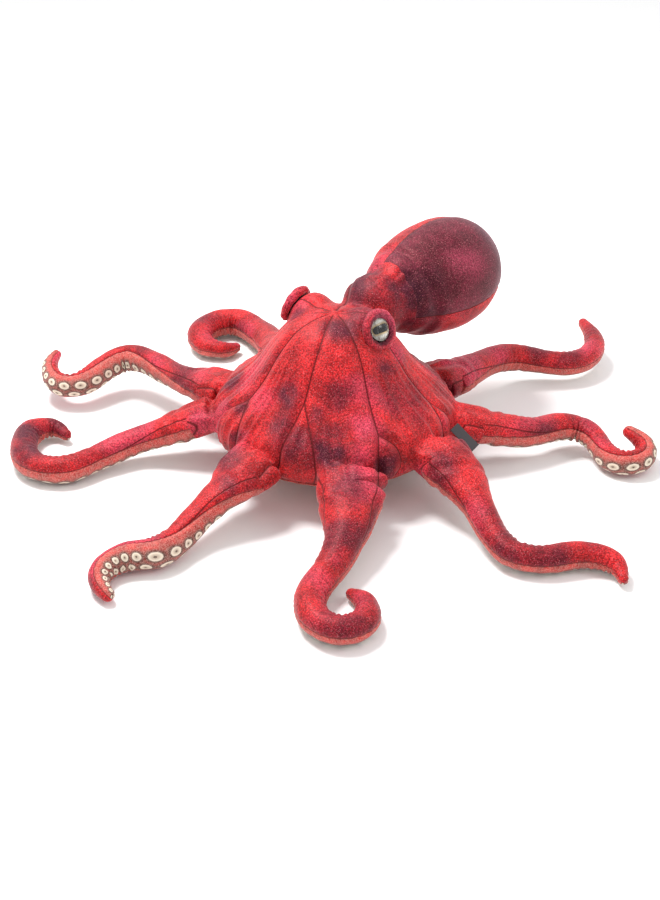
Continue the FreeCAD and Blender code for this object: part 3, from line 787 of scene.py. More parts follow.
# %% [markdown]
# ## Colour on the cloth
# The velour is red with soft blotches. The wine-dark patches are partly its mottled dye and partly
# painted shade in the creases between the arms and round the neck. The pink ones are partly a lighter
# tone and partly painted highlights where light falls on the cloth. The patches are marked on the mesh's
# points as two numbers, dark and pink. A third attribute keeps each point's place at rest, and the pile's
# grain reads that, so it does not slide when an arm moves.

# %% Patches of dye, painted shade and painted highlight
# Wine-dark patches: partly the velour's mottled dye, partly painted shade in the creases between the arms'
# roots and round the neck.
DARK_DYE_AND_SHADE_SPOTS = [
    ((4, -29, 165), 17, 0.9), ((-107, 12, 86), 17, 0.9), ((-94, -51, 87), 10, 0.8),
    ((-100, -76, 66), 9, 0.8), ((-112, -105, 59), 13, 0.9), ((-106, -140, 52), 14, 0.9),
    ((-47, -71, 109), 17, 0.9), ((-53, -87, 91), 15, 0.8), ((2, -77, 119), 17, 0.75),
    ((-19, -90, 100), 9, 0.7), ((-3, -123, 72), 24, 0.95), ((8, -160, 60), 22, 0.8),
    ((49, -49, 131), 16, 0.9), ((70, -60, 101), 30, 0.55), ((50, -117, 60), 15, 1.0),
    ((-43, -112, 77), 20, 0.75), ((22, 47, 176), 26, 1.0), ((30, 60, 170), 24, 1.0),
    ((-36, 16, 160), 10, 0.8), ((95, 60, 92), 26, 0.5), ((60, 110, 80), 28, 0.6), ((-60, 100, 90), 25, 0.6),
    ((-20, 118, 70), 22, 0.5), ((5, 20, 176), 15, 0.5), ((2, -225, 40), 16, 0.7),
    ((-250, -40, 25), 22, 0.4), ((-312, -30, 25), 34, 1.0), ((-325, 10, 25), 26, 1.0),
    ((-300, 42, 15), 22, 1.0), ((-213, 137, 56), 16, 0.5), ((236, 172, 45), 20, 0.8),
    ((309, 240, 38), 24, 0.6), ((220, -6, 30), 20, 0.8), ((258, 18, 30), 20, 0.9),
    ((158, -196, 26), 14, 0.7), ((205, -222, 18), 16, 0.8), ((243, -205, 22), 13, 0.7),
    ((10, -325, 14), 22, 0.7), ((28, -290, 20), 14, 0.6), ((-170, -200, 26), 12, 0.3),
    ((-15, -300, 10), 18, 0.5), ((125, -70, 60), 16, 0.8), ((35, -130, 45), 16, 0.9),
    ((80, 45, 165), 28, 1.0), ((95, 62, 172), 24, 0.9), ((85, 55, 140), 26, 0.9), ((60, 40, 172), 20, 0.9),
]
# Pink patches: painted highlights, where light falls on the cloth.
PINK_HIGHLIGHT_SPOTS = [
    ((-84, -10, 110), 24, 0.5), ((34, -98, 89), 18, 0.9), ((25, -121, 72), 16, 0.8),
    ((-140, -20, 54), 18, 0.8), ((140, 100, 60), 32, 1.0), ((175, 150, 50), 22, 0.8),
    ((28, -150, 58), 24, 0.8), ((48, -8, 168), 16, 0.9), ((-110, -95, 74), 18, 0.7),
    ((100, 30, 95), 22, 0.6), ((-40, 20, 170), 16, 0.6), ((290, 190, 40), 20, 0.7),
    ((270, 12, 40), 16, 0.6), ((-75, -60, 100), 18, 0.5), ((60, -20, 135), 14, 0.7),
    ((280, -15, 20), 14, 0.5), ((0, -245, 36), 10, 0.3), ((115, -55, 70), 14, 0.5),
    ((-240, -20, 34), 16, 0.4),
]


def patches(points, spots, spread):
    amount = np.zeros(len(points))
    for centre, radius, strength in spots:
        reach = np.linalg.norm(points - np.array(centre) * MM, axis=1) / (radius * MM)
        amount = np.maximum(amount, strength * (1 - ramp(reach + spread, 0.2, 1.5)))
    return amount


def paint(obj, darker=0.0, painted_highlight=0.0):
    """Writes rest, dark and pink on the points of a velour piece, adding any painted shade and painted
    highlight given.
    """
    p = points_of(obj.data)
    spread = noise_at(p, 26.0, 11.0) * 0.6 + noise_at(p, 75.0, 4.0) * 0.35
    dark = patches(p, DARK_DYE_AND_SHADE_SPOTS, spread)
    dark = np.maximum(dark, ramp(noise_at(p, 15.0, 20.0) + noise_at(p, 33.0, 2.0) * 0.4, 0.12, 0.62) * 0.75)
    pink = patches(p, PINK_HIGHLIGHT_SPOTS, spread)
    pink = np.maximum(pink, ramp(noise_at(p, 17.0, 33.0), 0.2, 0.6) * 0.6)
    write(obj, "dark", np.clip(dark + darker, 0, 1))
    write(obj, "pink", np.clip(pink * (1 - dark) + painted_highlight, 0, 1))
    keep_rest(obj)


def write(obj, name, values):
    attribute = obj.data.attributes.new(name, "FLOAT", "POINT")
    attribute.data.foreach_set("value", np.ascontiguousarray(values, np.float32))


def keep_rest(obj):
    attribute = obj.data.attributes.new("rest", "FLOAT_VECTOR", "POINT")
    attribute.data.foreach_set("vector", points_of(obj.data).astype(np.float32).ravel())


# %% [markdown]
# ## Velour
# A pile fabric is matt when seen straight on and bright where the pile is seen from the side, which is what
# sheen does. The pile itself is a fine grain: each tuft a little lighter or darker than the next, with a
# painted glint here and there, a light speck that stands in for light caught on the pile. Seams show as
# dark lines with a stitch every few millimetres.

# %% Shading helpers
class Shading:
    """A new material with its Principled shader, and short ways to add nodes to it."""

    def __init__(self, name):
        self.material = bpy.data.materials.new(name)
        self.material.use_nodes = True
        self.nodes = self.material.node_tree.nodes
        self.links = self.material.node_tree.links
        self.shader = self.nodes["Principled BSDF"]

    def feed(self, socket, value):
        """Sets a socket to a number or a colour, or links an output to it."""
        if isinstance(value, tuple):
            socket.default_value = (*value, 1.0)
        elif isinstance(value, (int, float)):
            socket.default_value = value
        else:
            self.links.new(value, socket)

    def surface(self, values):
        for name, value in values.items():
            self.feed(self.shader.inputs[name], value)

    def math(self, kind, first, second=None, clamp=False):
        node = self.nodes.new("ShaderNodeMath")
        node.operation = kind
        node.use_clamp = clamp
        self.feed(node.inputs[0], first)
        if second is not None:
            self.feed(node.inputs[1], second)
        return node.outputs[0]

    def mixed(self, factor, first, second):
        node = self.nodes.new("ShaderNodeMix")
        node.data_type = "RGBA"
        for index, value in ((0, factor), (6, first), (7, second)):
            self.feed(node.inputs[index], value)
        return node.outputs[2]

    def noise(self, vector, scale, detail=2.0, roughness=0.5):
        node = self.nodes.new("ShaderNodeTexNoise")
        settings = {"Scale": scale, "Detail": detail, "Roughness": roughness, "Vector": vector}
        for name, value in settings.items():
            self.feed(node.inputs[name], value)
        return node.outputs["Fac"]

    def step(self, value, low, high, out_low=0.0, out_high=1.0):
        node = self.nodes.new("ShaderNodeMapRange")
        node.interpolation_type = "SMOOTHSTEP"
        for index, amount in enumerate((value, low, high, out_low, out_high)):
            self.feed(node.inputs[index], amount)
        return node.outputs[0]

    def attribute(self, name, output="Fac"):
        node = self.nodes.new("ShaderNodeAttribute")
        node.attribute_name = name
        return node.outputs[output]

    def vector(self, operation, first, second):
        """A vector node whose second input is a number or three numbers."""
        node = self.nodes.new("ShaderNodeVectorMath")
        node.operation = operation
        self.links.new(first, node.inputs[0])
        if operation == "SCALE":
            self.links.new(second, node.inputs["Scale"])
            return node.outputs[0]
        node.inputs[1].default_value = tuple(second)
        return node.outputs["Value"]

    def parts(self, vector):
        node = self.nodes.new("ShaderNodeSeparateXYZ")
        self.links.new(vector, node.inputs[0])
        return node.outputs[0], node.outputs[1]

    def uv_parts(self, layer):
        uv = self.nodes.new("ShaderNodeUVMap")
        uv.uv_map = layer
        return self.parts(uv.outputs[0])

    def length(self, a, b):
        square = self.math("ADD", self.math("MULTIPLY", a, a), self.math("MULTIPLY", b, b))
        return self.math("SQRT", square)

    def seam_line(self):
        """1 on a seam line and 0 off it, from the seam layer: x and y are distances to two kinds of seam."""
        x, y = self.uv_parts("seam")
        first = self.step(self.math("ABSOLUTE", x), 0.0003, 0.0013, 1.0, 0.0)
        second = self.step(self.math("ABSOLUTE", y), 0.0002, 0.0012, 0.8, 0.0)
        return self.math("MAXIMUM", first, second)

    def bump(self, height, strength, distance):
        node = self.nodes.new("ShaderNodeBump")
        for name, value in (("Strength", strength), ("Distance", distance), ("Height", height)):
            self.feed(node.inputs[name], value)
        self.links.new(node.outputs[0], self.shader.inputs["Normal"])

    def object_place(self):
        return self.nodes.new("ShaderNodeTexCoord").outputs["Object"]


# %% Velour material
PILE_GLOSS = (1.0, 0.30, 0.32)     # the pile's own colour tints its highlights
# The colour of the painted glints on the pile.
TUFT_GLINT = (0.90, 0.30, 0.32)


def darker(color, share):
    return tuple(c * share for c in color)


def velour(name, red, wine_dye_and_shade, rose_tone_and_highlight, sheen_tint, sheen):
    m = Shading(name)
    rest = m.attribute("rest", "Vector")
    mottle = m.step(m.noise(rest, 42.0, 4.0, 0.6), 0.38, 0.68)
    base = m.mixed(mottle, red, darker(red, 0.50))
    cloud = m.step(m.noise(rest, 95.0, 3.0, 0.6), 0.2, 0.6, 0.72, 1.05)
    # The dark patches: partly mottled dye, partly painted shade in creases and round the neck.
    base = m.mixed(m.math("MULTIPLY", m.attribute("dark"), cloud, True), base, wine_dye_and_shade)
    # The pink patches: partly a lighter tone, partly painted highlights where light falls.
    base = m.mixed(m.math("MULTIPLY", m.attribute("pink"), 0.75), base, rose_tone_and_highlight)
    tufts = m.noise(rest, 620.0, 2.0, 0.7)
    toned = m.vector("SCALE", base, m.step(tufts, 0.32, 0.68, 0.38, 1.65))
    # Painted glints: light specks that stand in for light caught on the pile.
    painted_glint = m.step(m.noise(rest, 1050.0, 1.0), 0.60, 0.72, 0.0, 0.34)
    base = m.mixed(painted_glint, toned, TUFT_GLINT)
    line = m.seam_line()
    base = m.mixed(m.math("MULTIPLY", line, 0.85), base, darker(red, 0.12))
    m.surface({"Base Color": base, "Roughness": 0.5, "Specular IOR Level": 0.42, "Specular Tint": PILE_GLOSS,
               "Sheen Weight": sheen, "Sheen Roughness": 0.38, "Sheen Tint": sheen_tint})
    m.bump(m.math("SUBTRACT", tufts, m.math("MULTIPLY", line, 1.2)), 0.55, 0.0006)
    return m.material


VELOUR = velour("red_velour", (0.47, 0.016, 0.018), (0.050, 0.006, 0.016), (0.50, 0.055, 0.105),
                (1.0, 0.40, 0.42), 0.26)
DARK_VELOUR = velour("wine_velour", (0.105, 0.010, 0.022), (0.022, 0.004, 0.012), (0.34, 0.045, 0.085),
                     (1.0, 0.50, 0.60), 0.24)
print("velours made")


# %% [markdown]
# ## The printed underside
# The underside of each arm is a smooth cloth with a print: two staggered rows of pale suckers, each with a
# dark dot and a dark halo, on brown-red. The piece's own UV map counts suckers along the arm and across it,
# and they shrink with the arm because the map is laid out by its radius.

# %% Printed cloth
ROW_OFFSET = 0.46        # from the middle of the underside to each row, in sucker spacings


def sucker_row(m, u, v, offset, across):
    """The distance from the middle of the nearest sucker of one row, in sucker spacings."""
    part = m.math("FRACT", m.math("ADD", u, offset))
    return m.length(m.math("SUBTRACT", part, 0.5), m.math("SUBTRACT", v, across))


def printed_cloth(name):
    m = Shading(name)
    rest = m.attribute("rest", "Vector")
    u, v = m.uv_parts("print")
    near = m.math("MINIMUM", sucker_row(m, u, v, 0.0, ROW_OFFSET), sucker_row(m, u, v, 0.5, -ROW_OFFSET))
    rough_edge = m.math("SUBTRACT", m.noise(rest, 420.0, 2.0), 0.5)
    near = m.math("ADD", near, m.math("MULTIPLY", rough_edge, 0.07))
    mottle = m.step(m.noise(rest, 130.0, 4.0, 0.65), 0.35, 0.65)
    ground = m.mixed(mottle, (0.17, 0.030, 0.022), (0.33, 0.035, 0.028))
    rim = m.mixed(mottle, (0.30, 0.022, 0.020), (0.52, 0.032, 0.028))
    base = m.mixed(m.step(m.math("ABSOLUTE", v), 0.7, 1.25), ground, rim)
    base = m.mixed(m.step(near, 0.36, 0.62, 0.88, 0.0), base, (0.035, 0.018, 0.013))
    disc = m.step(near, 0.29, 0.35, 1.0, 0.0)
    cream = m.mixed(m.step(near, 0.05, 0.30), (0.42, 0.35, 0.26), (0.74, 0.66, 0.53))
    base = m.mixed(disc, base, cream)
    base = m.mixed(m.step(near, 0.05, 0.10, 0.95, 0.0), base, (0.045, 0.03, 0.022))
    weave = m.noise(rest, 900.0, 2.0, 0.7)
    base = m.mixed(m.step(weave, 0.35, 0.7, 0.0, 0.3), base, (0.9, 0.6, 0.5))
    base = m.mixed(m.math("MULTIPLY", m.seam_line(), 0.8), base, (0.05, 0.008, 0.008))
    m.surface({"Base Color": base, "Roughness": 0.7, "Specular IOR Level": 0.2, "Sheen Weight": 0.15,
               "Sheen Roughness": 0.4})
    m.bump(m.math("ADD", weave, m.math("MULTIPLY", disc, 0.8)), 0.4, 0.0004)
    return m.material


PRINT = printed_cloth("sucker_print")
print("print made")

# %% [markdown]
# ## Cutting the skin
# The skin is cut with a plane at each arm's root fold and at the mantle's neck, and each cut is closed with
# a cap, so that the skin stays a closed body. What is outside the planes is made by the arms' own pieces.


# %% Cut and cap
def cut_skin(obj):
    bm = bmesh.new()
    bm.from_mesh(obj.data)
    cuts = []
    for n, tube in tubes.items():
        k = int(np.argmin(np.abs(tube["s"])))
        cuts.append((tube["centre"][k], tube["tangent"][k], None))
    cuts.append((NECK + MANTLE_AXIS * MANTLE_CUT, MANTLE_AXIS, 50 * MM))
    for place, way, reach in cuts:
        faces = list(bm.faces)
        if reach is not None:
            faces = []
            for face in bm.faces:
                rel = np.array(face.calc_center_median()) - NECK
                forward = rel @ MANTLE_AXIS
                if forward > MANTLE_CUT - 8 * MM and np.linalg.norm(rel - forward * MANTLE_AXIS) < reach:
                    faces.append(face)
        geom = faces + list({e for f in faces for e in f.edges}) + list({v for f in faces for v in f.verts})
        result = bmesh.ops.bisect_plane(bm, geom=geom, plane_co=Vector(place), plane_no=Vector(way),
                                        clear_outer=True, dist=1e-7)
        edges = [e for e in result["geom_cut"] if isinstance(e, bmesh.types.BMEdge)]
        rim = [e for e in edges if e.is_valid and e.is_boundary]
        bmesh.ops.triangle_fill(bm, edges=rim, use_beauty=True, normal=Vector(way))
    bmesh.ops.recalc_face_normals(bm, faces=bm.faces)
    open_edges = sum(e.is_boundary for e in bm.edges)
    bm.to_mesh(obj.data)
    bm.free()
    return open_edges


print("open edges left in the skin:", cut_skin(body_skin))
keep_largest_shell(body_skin)


# %% Seam layer of the skin
def face_layers(obj):
    """The corners' vertex numbers, and each corner's face number, as arrays."""
    mesh = obj.data
    corner = np.empty(len(mesh.loops), np.int32)
    mesh.loops.foreach_get("vertex_index", corner)
    sizes = np.empty(len(mesh.polygons), np.int32)
    mesh.polygons.foreach_get("loop_total", sizes)
    return corner, np.repeat(np.arange(len(sizes)), sizes)


def write_uv(obj, name, uv):
    layer = obj.data.uv_layers.get(name) or obj.data.uv_layers.new(name=name)
    layer.data.foreach_set("uv", np.ascontiguousarray(uv, np.float32).ravel())


def mark_skin_seams(obj):
    corner, face = face_layers(obj)
    centres = np.empty(len(obj.data.polygons) * 3, np.float32)
    obj.data.polygons.foreach_get("center", centres)
    centres = centres.reshape(-1, 3).astype(float)
    gap, nearest = seam_distance(centres)
    a = SEGMENTS[nearest, 0]
    way = unit(SEGMENTS[nearest, 1] - a)
    sideways = np.stack([-way[:, 1], way[:, 0]], axis=1)
    p = points_of(obj.data)[corner][:, :2]
    x = np.sum((p - a[face]) * sideways[face], axis=1)
    hidden = (gap > 6 * MM) | (centres[:, 2] < 24 * MM) | (np.hypot(centres[:, 0], centres[:, 1]) < 6 * MM)
    x = np.where(hidden[face], 0.05, x)
    write_uv(obj, "seam", np.stack([x, np.full_like(x, 0.05)], axis=1))


def finish_piece(obj, material):
    obj.data.materials.clear()
    obj.data.materials.append(material)
    obj.data.polygons.foreach_set("use_smooth", np.ones(len(obj.data.polygons), bool))
    obj.data.update()


mark_skin_seams(body_skin)
paint(body_skin)
finish_piece(body_skin, VELOUR)
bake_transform(body_skin)
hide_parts(*SKIN_NODES)
print("skin finished")

# %% [markdown]
# ## Pieces of an arm
# Each arm is sewn from a velour back and a printed underside, and each of those is cut into a root, a short
# fold and a tip, because the arm turns at its root and at its middle; only the tip pieces are attached, to
# the arm's tip. A piece is a sector of the tube's rings, closed through the middle of the arm, so that it
# stays a solid of its own.


# %% Sector of a tube
def sector(name, grid, tube, rings, columns, tuck=False):
    """A closed piece of a tube: some rings and some columns of its grid, and a wall through its middle."""
    first, last = rings
    around = grid.shape[1]
    wanted = [c % around for c in range(columns[0], columns[1] + 1)]
    middle = grid.mean(axis=1)
    rows = [np.concatenate([grid[i][wanted], middle[i][None]]) for i in range(first, last + 1)]
    marks = [i for i in range(first, last + 1)]
    if tuck:
        behind = middle[first] - tube["tangent"][first] * 2.5 * MM
        rows.insert(0, behind + (rows[0] - middle[first]) * 0.95)
        marks.insert(0, first)
    wide = len(wanted) + 1
    faces = []
    for i in range(len(rows) - 1):
        for j in range(wide):
            k = (j + 1) % wide
            faces.append((i * wide + j, i * wide + k, (i + 1) * wide + k, (i + 1) * wide + j))
    faces.append(tuple(range(wide - 1, -1, -1)))
    faces.append(tuple((len(rows) - 1) * wide + j for j in range(wide)))
    made = object_from(name, np.concatenate(rows), faces)
    ring_of = np.repeat(marks, wide)
    column_of = np.tile(np.append(np.arange(columns[0], columns[1] + 1), -10 ** 6), len(rows))
    return made, ring_of, column_of


def seam_uv(tube, ring_of, column_of, around, lines):
    """Distances along the surface to the gusset line (x) and to the side seam (y), for each point."""
    angle = np.abs((np.degrees(column_of * 2 * math.pi / around) + 180) % 360 - 180)
    r, s = np.maximum(tube["radius"], 1 * MM)[ring_of], tube["s"][ring_of]
    side = np.radians(np.abs(angle - 90)) * (r + tube["width"][ring_of]) / 2
    line = LINE_ANGLE + (90 - LINE_ANGLE) * ramp(s, 10 * MM, 95 * MM)
    x = np.radians(angle - line) * (r + tube["width"][ring_of]) / 2
    x = np.where((s < 95 * MM) & (lines > 0), x, 0.05)
    wall = column_of < -10 ** 5
    return np.where(wall, 0.05, x), np.where(wall, 0.05, side)


def print_uv(tube, ring_of, column_of, around):
    """Counts suckers along the arm and across it."""
    spacing = 0.92 * np.maximum(tube["radius"], 5 * MM)
    count = np.concatenate([[0], np.cumsum(np.diff(tube["s"]) / ((spacing[1:] + spacing[:-1]) / 2))])
    angle = np.radians(column_of * 360 / around - 180)
    v = angle * np.maximum(tube["radius"], 1 * MM)[ring_of] / spacing[ring_of]
    return count[ring_of], np.where(column_of < -10 ** 5, 0.0, v)


def close_up(obj):
    """Joins the points that fell together at a tip, and points all faces outwards."""
    bm = bmesh.new()
    bm.from_mesh(obj.data)
    bmesh.ops.remove_doubles(bm, verts=bm.verts, dist=1e-6)
    bmesh.ops.dissolve_degenerate(bm, edges=bm.edges, dist=1e-7)
    bmesh.ops.recalc_face_normals(bm, faces=bm.faces)
    bm.to_mesh(obj.data)
    bm.free()


def sharpen_caps(obj, limit=1.05):
    """Keeps the walls inside an arm from rounding the outside's shading."""
    activate(obj)
    bpy.ops.object.shade_smooth_by_angle(angle=limit)


FOLD_REACH = 22 * MM


def make_arm(n):
    grid, tube = grids[n], tubes[n]
    around = grid.shape[1]
    s = tube["s"]
    start, end = int(np.argmin(np.abs(s))), len(s) - 1
    before = int(np.argmin(np.abs(s - tube["fold"] + FOLD_REACH)))
    after = int(np.argmin(np.abs(s - tube["fold"] - FOLD_REACH)))
    lengths = {"root": (start, before), "fold": (before, after), "tip": (after, end)}
    halves = {"velour": (-around // 4, around // 4, VELOUR, "velour", "back"),
              "print": (around // 4, 3 * around // 4, PRINT, "printed_cloth", "underside")}
    for length, rings in lengths.items():
        for half, (low_column, high_column, material, slot, node_half) in halves.items():
            name = f"arm_{n}_{length}_{half}"
            columns = (low_column, high_column)
            made, ring_of, column_of = sector(name, grid, tube, rings, columns, length == "root")
            x, y = seam_uv(tube, ring_of, column_of, around, 1 if half == "velour" else 0)
            u, v = print_uv(tube, ring_of, column_of, around)
            corner = face_layers(made)[0]
            write_uv(made, "seam", np.stack([x[corner], y[corner]], axis=1))
            write_uv(made, "print", np.stack([u[corner], v[corner]], axis=1))
            close_up(made)
            paint(made)
            finish_piece(made, material)
            sharpen_caps(made)
            root, tip = f"arm_{n}_root", f"arm_{n}_tip"
            if length == "root":
                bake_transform(made)
                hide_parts(f"{root}_{node_half}")
            elif length == "fold":
                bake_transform(made)
            else:
                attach(made, tip)
                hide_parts(f"{tip}_{node_half}")


for n in ARMS:
    make_arm(n)
print("arms cut into pieces")


# %% Mantle panels
MANTLE_PANELS = {
    "mantle_panel_back": (0, DARK_VELOUR, "dark_velour"),
    "mantle_panel_right": (1, VELOUR, "velour"),
    "mantle_panel_left": (2, VELOUR, "velour"),
}


def make_mantle_panel(node, index, material):
    grid, tube = grids[0], mantle
    around = grid.shape[1]
    seams = [round(a / 360 * around) for a in (*MANTLE_SEAMS, MANTLE_SEAMS[0] + 360)]
    columns = (seams[index], seams[index + 1])
    start = int(np.argmin(np.abs(tube["s"] - MANTLE_CUT)))
    rings = (start, len(tube["s"]) - 1)
    made, ring_of, column_of = sector(node + "_cloth", grid, tube, rings, columns, True)
    r = np.maximum(tube["radius"], 1 * MM)[ring_of]
    edge = np.minimum(np.abs(column_of - columns[0]), np.abs(column_of - columns[1]))
    edge = edge * 2 * math.pi / around * r
    edge = np.where(column_of < -10 ** 5, 0.05, edge)
    corner = face_layers(made)[0]
    write_uv(made, "seam", np.stack([edge[corner], np.full(len(corner), 0.05)], axis=1))
    close_up(made)
    paint(made)
    finish_piece(made, material)
    sharpen_caps(made)
    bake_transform(made)
    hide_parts(node)
    return made


for node, (index, material, slot) in MANTLE_PANELS.items():
    made = make_mantle_panel(node, index, material)
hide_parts("mantle_stuffing")
print("mantle panels made")

# %% [markdown]
# ## Eyelids
# Each eye sits in a rolled ring of velour. The roll is modelled as a ring of rings about the eye's own
# axis: thick and low over the brow, so that it shades the top of the eye, and slack below, where it folds.
# A plain ring would give the face no look at all.


# %% Rolled rings round the eyes
def ring_solid(grid):
    """Faces of a grid that is closed both ways."""
    rows, columns = grid.shape[:2]
    faces = []
    for i in range(rows):
        for j in range(columns):
            k, m = (i + 1) % rows, (j + 1) % columns
            faces.append((i * columns + j, k * columns + j, k * columns + m, i * columns + m))
    return grid.reshape(-1, 3), faces


def eye_frame(look):
    """Level and upright directions across an eye that looks this way."""
    level = unit(np.cross(np.array([0, 0, 1.0]), look))
    return level, np.cross(look, level)


def make_eyelid(side):
    seat, look = EYES[side]
    level, upright = eye_frame(look)
    turn = np.linspace(0, 2 * math.pi, 144, endpoint=False)[:, None]
    rolled = np.linspace(0, 2 * math.pi, 40, endpoint=False)[None, :]
    over = np.clip(np.sin(turn), 0, 1)
    under = np.clip(-np.sin(turn), 0, 1)
    ring = (16.9 - 1.3 * over + 0.6 * under) * MM
    roll = (4.3 + 0.7 * over) * MM
    lift = (0.6 + 1.6 * over - 0.6 * under) * MM
    wave = np.sin(turn * 9 + rolled * 1.5) * 0.25 * MM * (1 + under)
    radius = roll + wave
    out = ring + radius * np.cos(rolled)
    up = lift + radius * np.sin(rolled)
    outward = level * np.cos(turn)[..., None] + upright * np.sin(turn)[..., None]
    grid = seat + outward * out[..., None] + look * up[..., None]
    verts, faces = ring_solid(grid)
    made = object_from(f"eyelid_roll_{side}", verts, faces)
    # Painted shade on the side of the roll that faces the eye, in the hollow between roll and eye, and a
    # painted highlight on its outer side.
    inside = np.clip(0.35 - np.cos(rolled) * 1.6, 0, 1) * np.ones_like(turn)
    write_uv(made, "seam", np.full((len(made.data.loops), 2), 0.05))
    close_up(made)
    paint(made, darker=inside.ravel(), painted_highlight=0.25 * (1 - inside.ravel()))
    finish_piece(made, VELOUR)
    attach(made, "head")
    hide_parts(f"eyelid_{side}")


for side in EYES:
    make_eyelid(side)
print("eyelids made")

# %% [markdown]
# ## The eyes
# The CAD eyes are already the right shape, so they only get finishes: a clear dome, a printed iris of
# silver and gold with the wide level pupil of an octopus, and black plastic behind. The print is worked out
# from each eye's own directions, so that both pupils lie level.

# %% Finishes of the hard pieces
PUPIL_HALF_LENGTH = 0.0052     # to the middle of its round ends


def dress(node, material):
    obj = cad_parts[node]
    obj.data.materials.clear()
    obj.data.materials.append(material)


def plastic(name, color, roughness):
    m = Shading(name)
    grain = m.noise(m.object_place(), 300.0)
    m.surface({"Base Color": m.mixed(grain, color, darker(color, 0.8)), "Roughness": roughness})
    return m.material


def clear_plastic():
    m = Shading("clear_plastic")
    grain = m.noise(m.object_place(), 60.0)
    m.surface({"Roughness": m.step(grain, 0.3, 0.7, 0.0, 0.02), "Base Color": (1.0, 1.0, 1.0),
               "Transmission Weight": 1.0, "IOR": 1.45})
    return m.material


def from_seat(m, place, seat, direction):
    """How far a place lies from an eye's middle, along a direction."""
    return m.math("SUBTRACT", m.vector("DOT_PRODUCT", place, direction), float(seat @ direction))


def chosen(m, first, second, share):
    """first where share is 0, and second where it is 1."""
    gap = m.math("SUBTRACT", second, first)
    return m.math("ADD", first, m.math("MULTIPLY", gap, share))


def iris_print():
    m = Shading("iris_print")
    place = m.object_place()
    is_left = m.math("GREATER_THAN", m.parts(place)[0], 0.0)
    across, upwards = [], []
    for side in ("right", "left"):
        seat, look = EYES[side]
        level, upright = eye_frame(look)
        across.append(from_seat(m, place, seat, level))
        upwards.append(from_seat(m, place, seat, upright))
    x, y = chosen(m, *across, is_left), chosen(m, *upwards, is_left)
    radius = m.length(x, y)
    beyond = m.math("MAXIMUM", m.math("SUBTRACT", m.math("ABSOLUTE", x), PUPIL_HALF_LENGTH), 0.0)
    bar = m.length(beyond, y)
    streaks = m.step(m.noise(place, 900.0, 3.0, 0.6), 0.35, 0.65)
    metal = m.mixed(streaks, (0.88, 0.87, 0.80), (0.62, 0.60, 0.52))
    base = m.mixed(m.step(bar, 0.0034, 0.0062, 0.9, 0.0), metal, (0.55, 0.36, 0.10))
    base = m.mixed(m.step(bar, 0.0032, 0.0036, 1.0, 0.0), base, (0.008, 0.006, 0.006))
    base = m.mixed(m.step(radius, 0.0108, 0.0118), base, (0.02, 0.012, 0.01))
    m.surface({"Base Color": base, "Metallic": 0.35, "Roughness": 0.3})
    return m.material


dress("eye_domes", clear_plastic())
dress("eye_irises", iris_print())
dress("eye_backs", plastic("black_plastic", (0.012, 0.012, 0.013), 0.35))
dress("eye_washers", plastic("washer_plastic", (0.55, 0.55, 0.52), 0.45))
print("eyes finished")

# %% [markdown]
# ## Under the skirt
# The underside is a ring of printed cloth drawn tight between the hem and the arms, with a rolled hem round
# the hand opening and a satin lining above it. They are turned profiles, as the sewer would cut rings and
# cones, with small puckers where cloth is gathered on to a smaller edge.


# %% Turned cloth
def turned_solid(name, outline, folds, depth, count=160):
    """A closed outline of (radius, height) turned about the upright axis, with folds round it."""
    outline = np.array(outline, float) * MM
    angle = np.linspace(0, 2 * math.pi, count, endpoint=False)
    wave = np.sin(angle * folds + np.sin(angle * 3) * 1.5) * depth * MM
    radius = outline[None, :, 0] + wave[:, None]
    height = np.repeat(outline[None, :, 1], count, axis=0)
    grid = np.stack([radius * np.cos(angle)[:, None], radius * np.sin(angle)[:, None], height], axis=2)
    verts, faces = ring_solid(grid)
    made = object_from(name, verts, faces)
    close_up(made)
    write_uv(made, "seam", np.full((len(made.data.loops), 2), 0.05))
    paint(made)
    return made


def even_outline(corners, step=3.0):
    """The corners of a closed outline with points between them, step millimetres apart."""
    points = []
    for a, b in zip(corners, corners[1:] + corners[:1]):
        a, b = np.array(a, float), np.array(b, float)
        parts = max(int(np.linalg.norm(b - a) / step), 1)
        points += [tuple(a + (b - a) * i / parts) for i in range(parts)]
    return points


def satin():
    m = Shading("lining_satin")
    weave = m.noise(m.attribute("rest", "Vector"), 800.0, 2.0, 0.7)
    m.surface({"Base Color": m.mixed(weave, (0.16, 0.010, 0.014), (0.30, 0.020, 0.026)), "Roughness": 0.45})
    m.bump(weave, 0.3, 0.0003)
    return m.material


SATIN = satin()
BASE_OUTLINE = [(48.5, 16), (112, 31), (112, 32.6), (48.5, 17.6)]
BASE_SUCKERS = 18.5 * MM     # from one printed sucker to the next under the skirt


def print_towards_arms(obj):
    """Lays the print out so that each arm's two rows of suckers run on to the middle."""
    corner, face = face_layers(obj)
    p = points_of(obj.data)[corner]
    centres = np.empty(len(obj.data.polygons) * 3, np.float32)
    obj.data.polygons.foreach_get("center", centres)
    centres = centres.reshape(-1, 3)[face].astype(float)
    arm_way = np.array([unit(tubes[n]["centre"][0][:2]) for n in ARMS])
    way = arm_way[np.argmax(unit(centres[:, :2]) @ arm_way.T, axis=1)]
    forward = np.sum(p[:, :2] * way, axis=1)
    sideways = p[:, 0] * -way[:, 1] + p[:, 1] * way[:, 0]
    write_uv(obj, "print", np.stack([forward / BASE_SUCKERS, sideways / BASE_SUCKERS], axis=1))


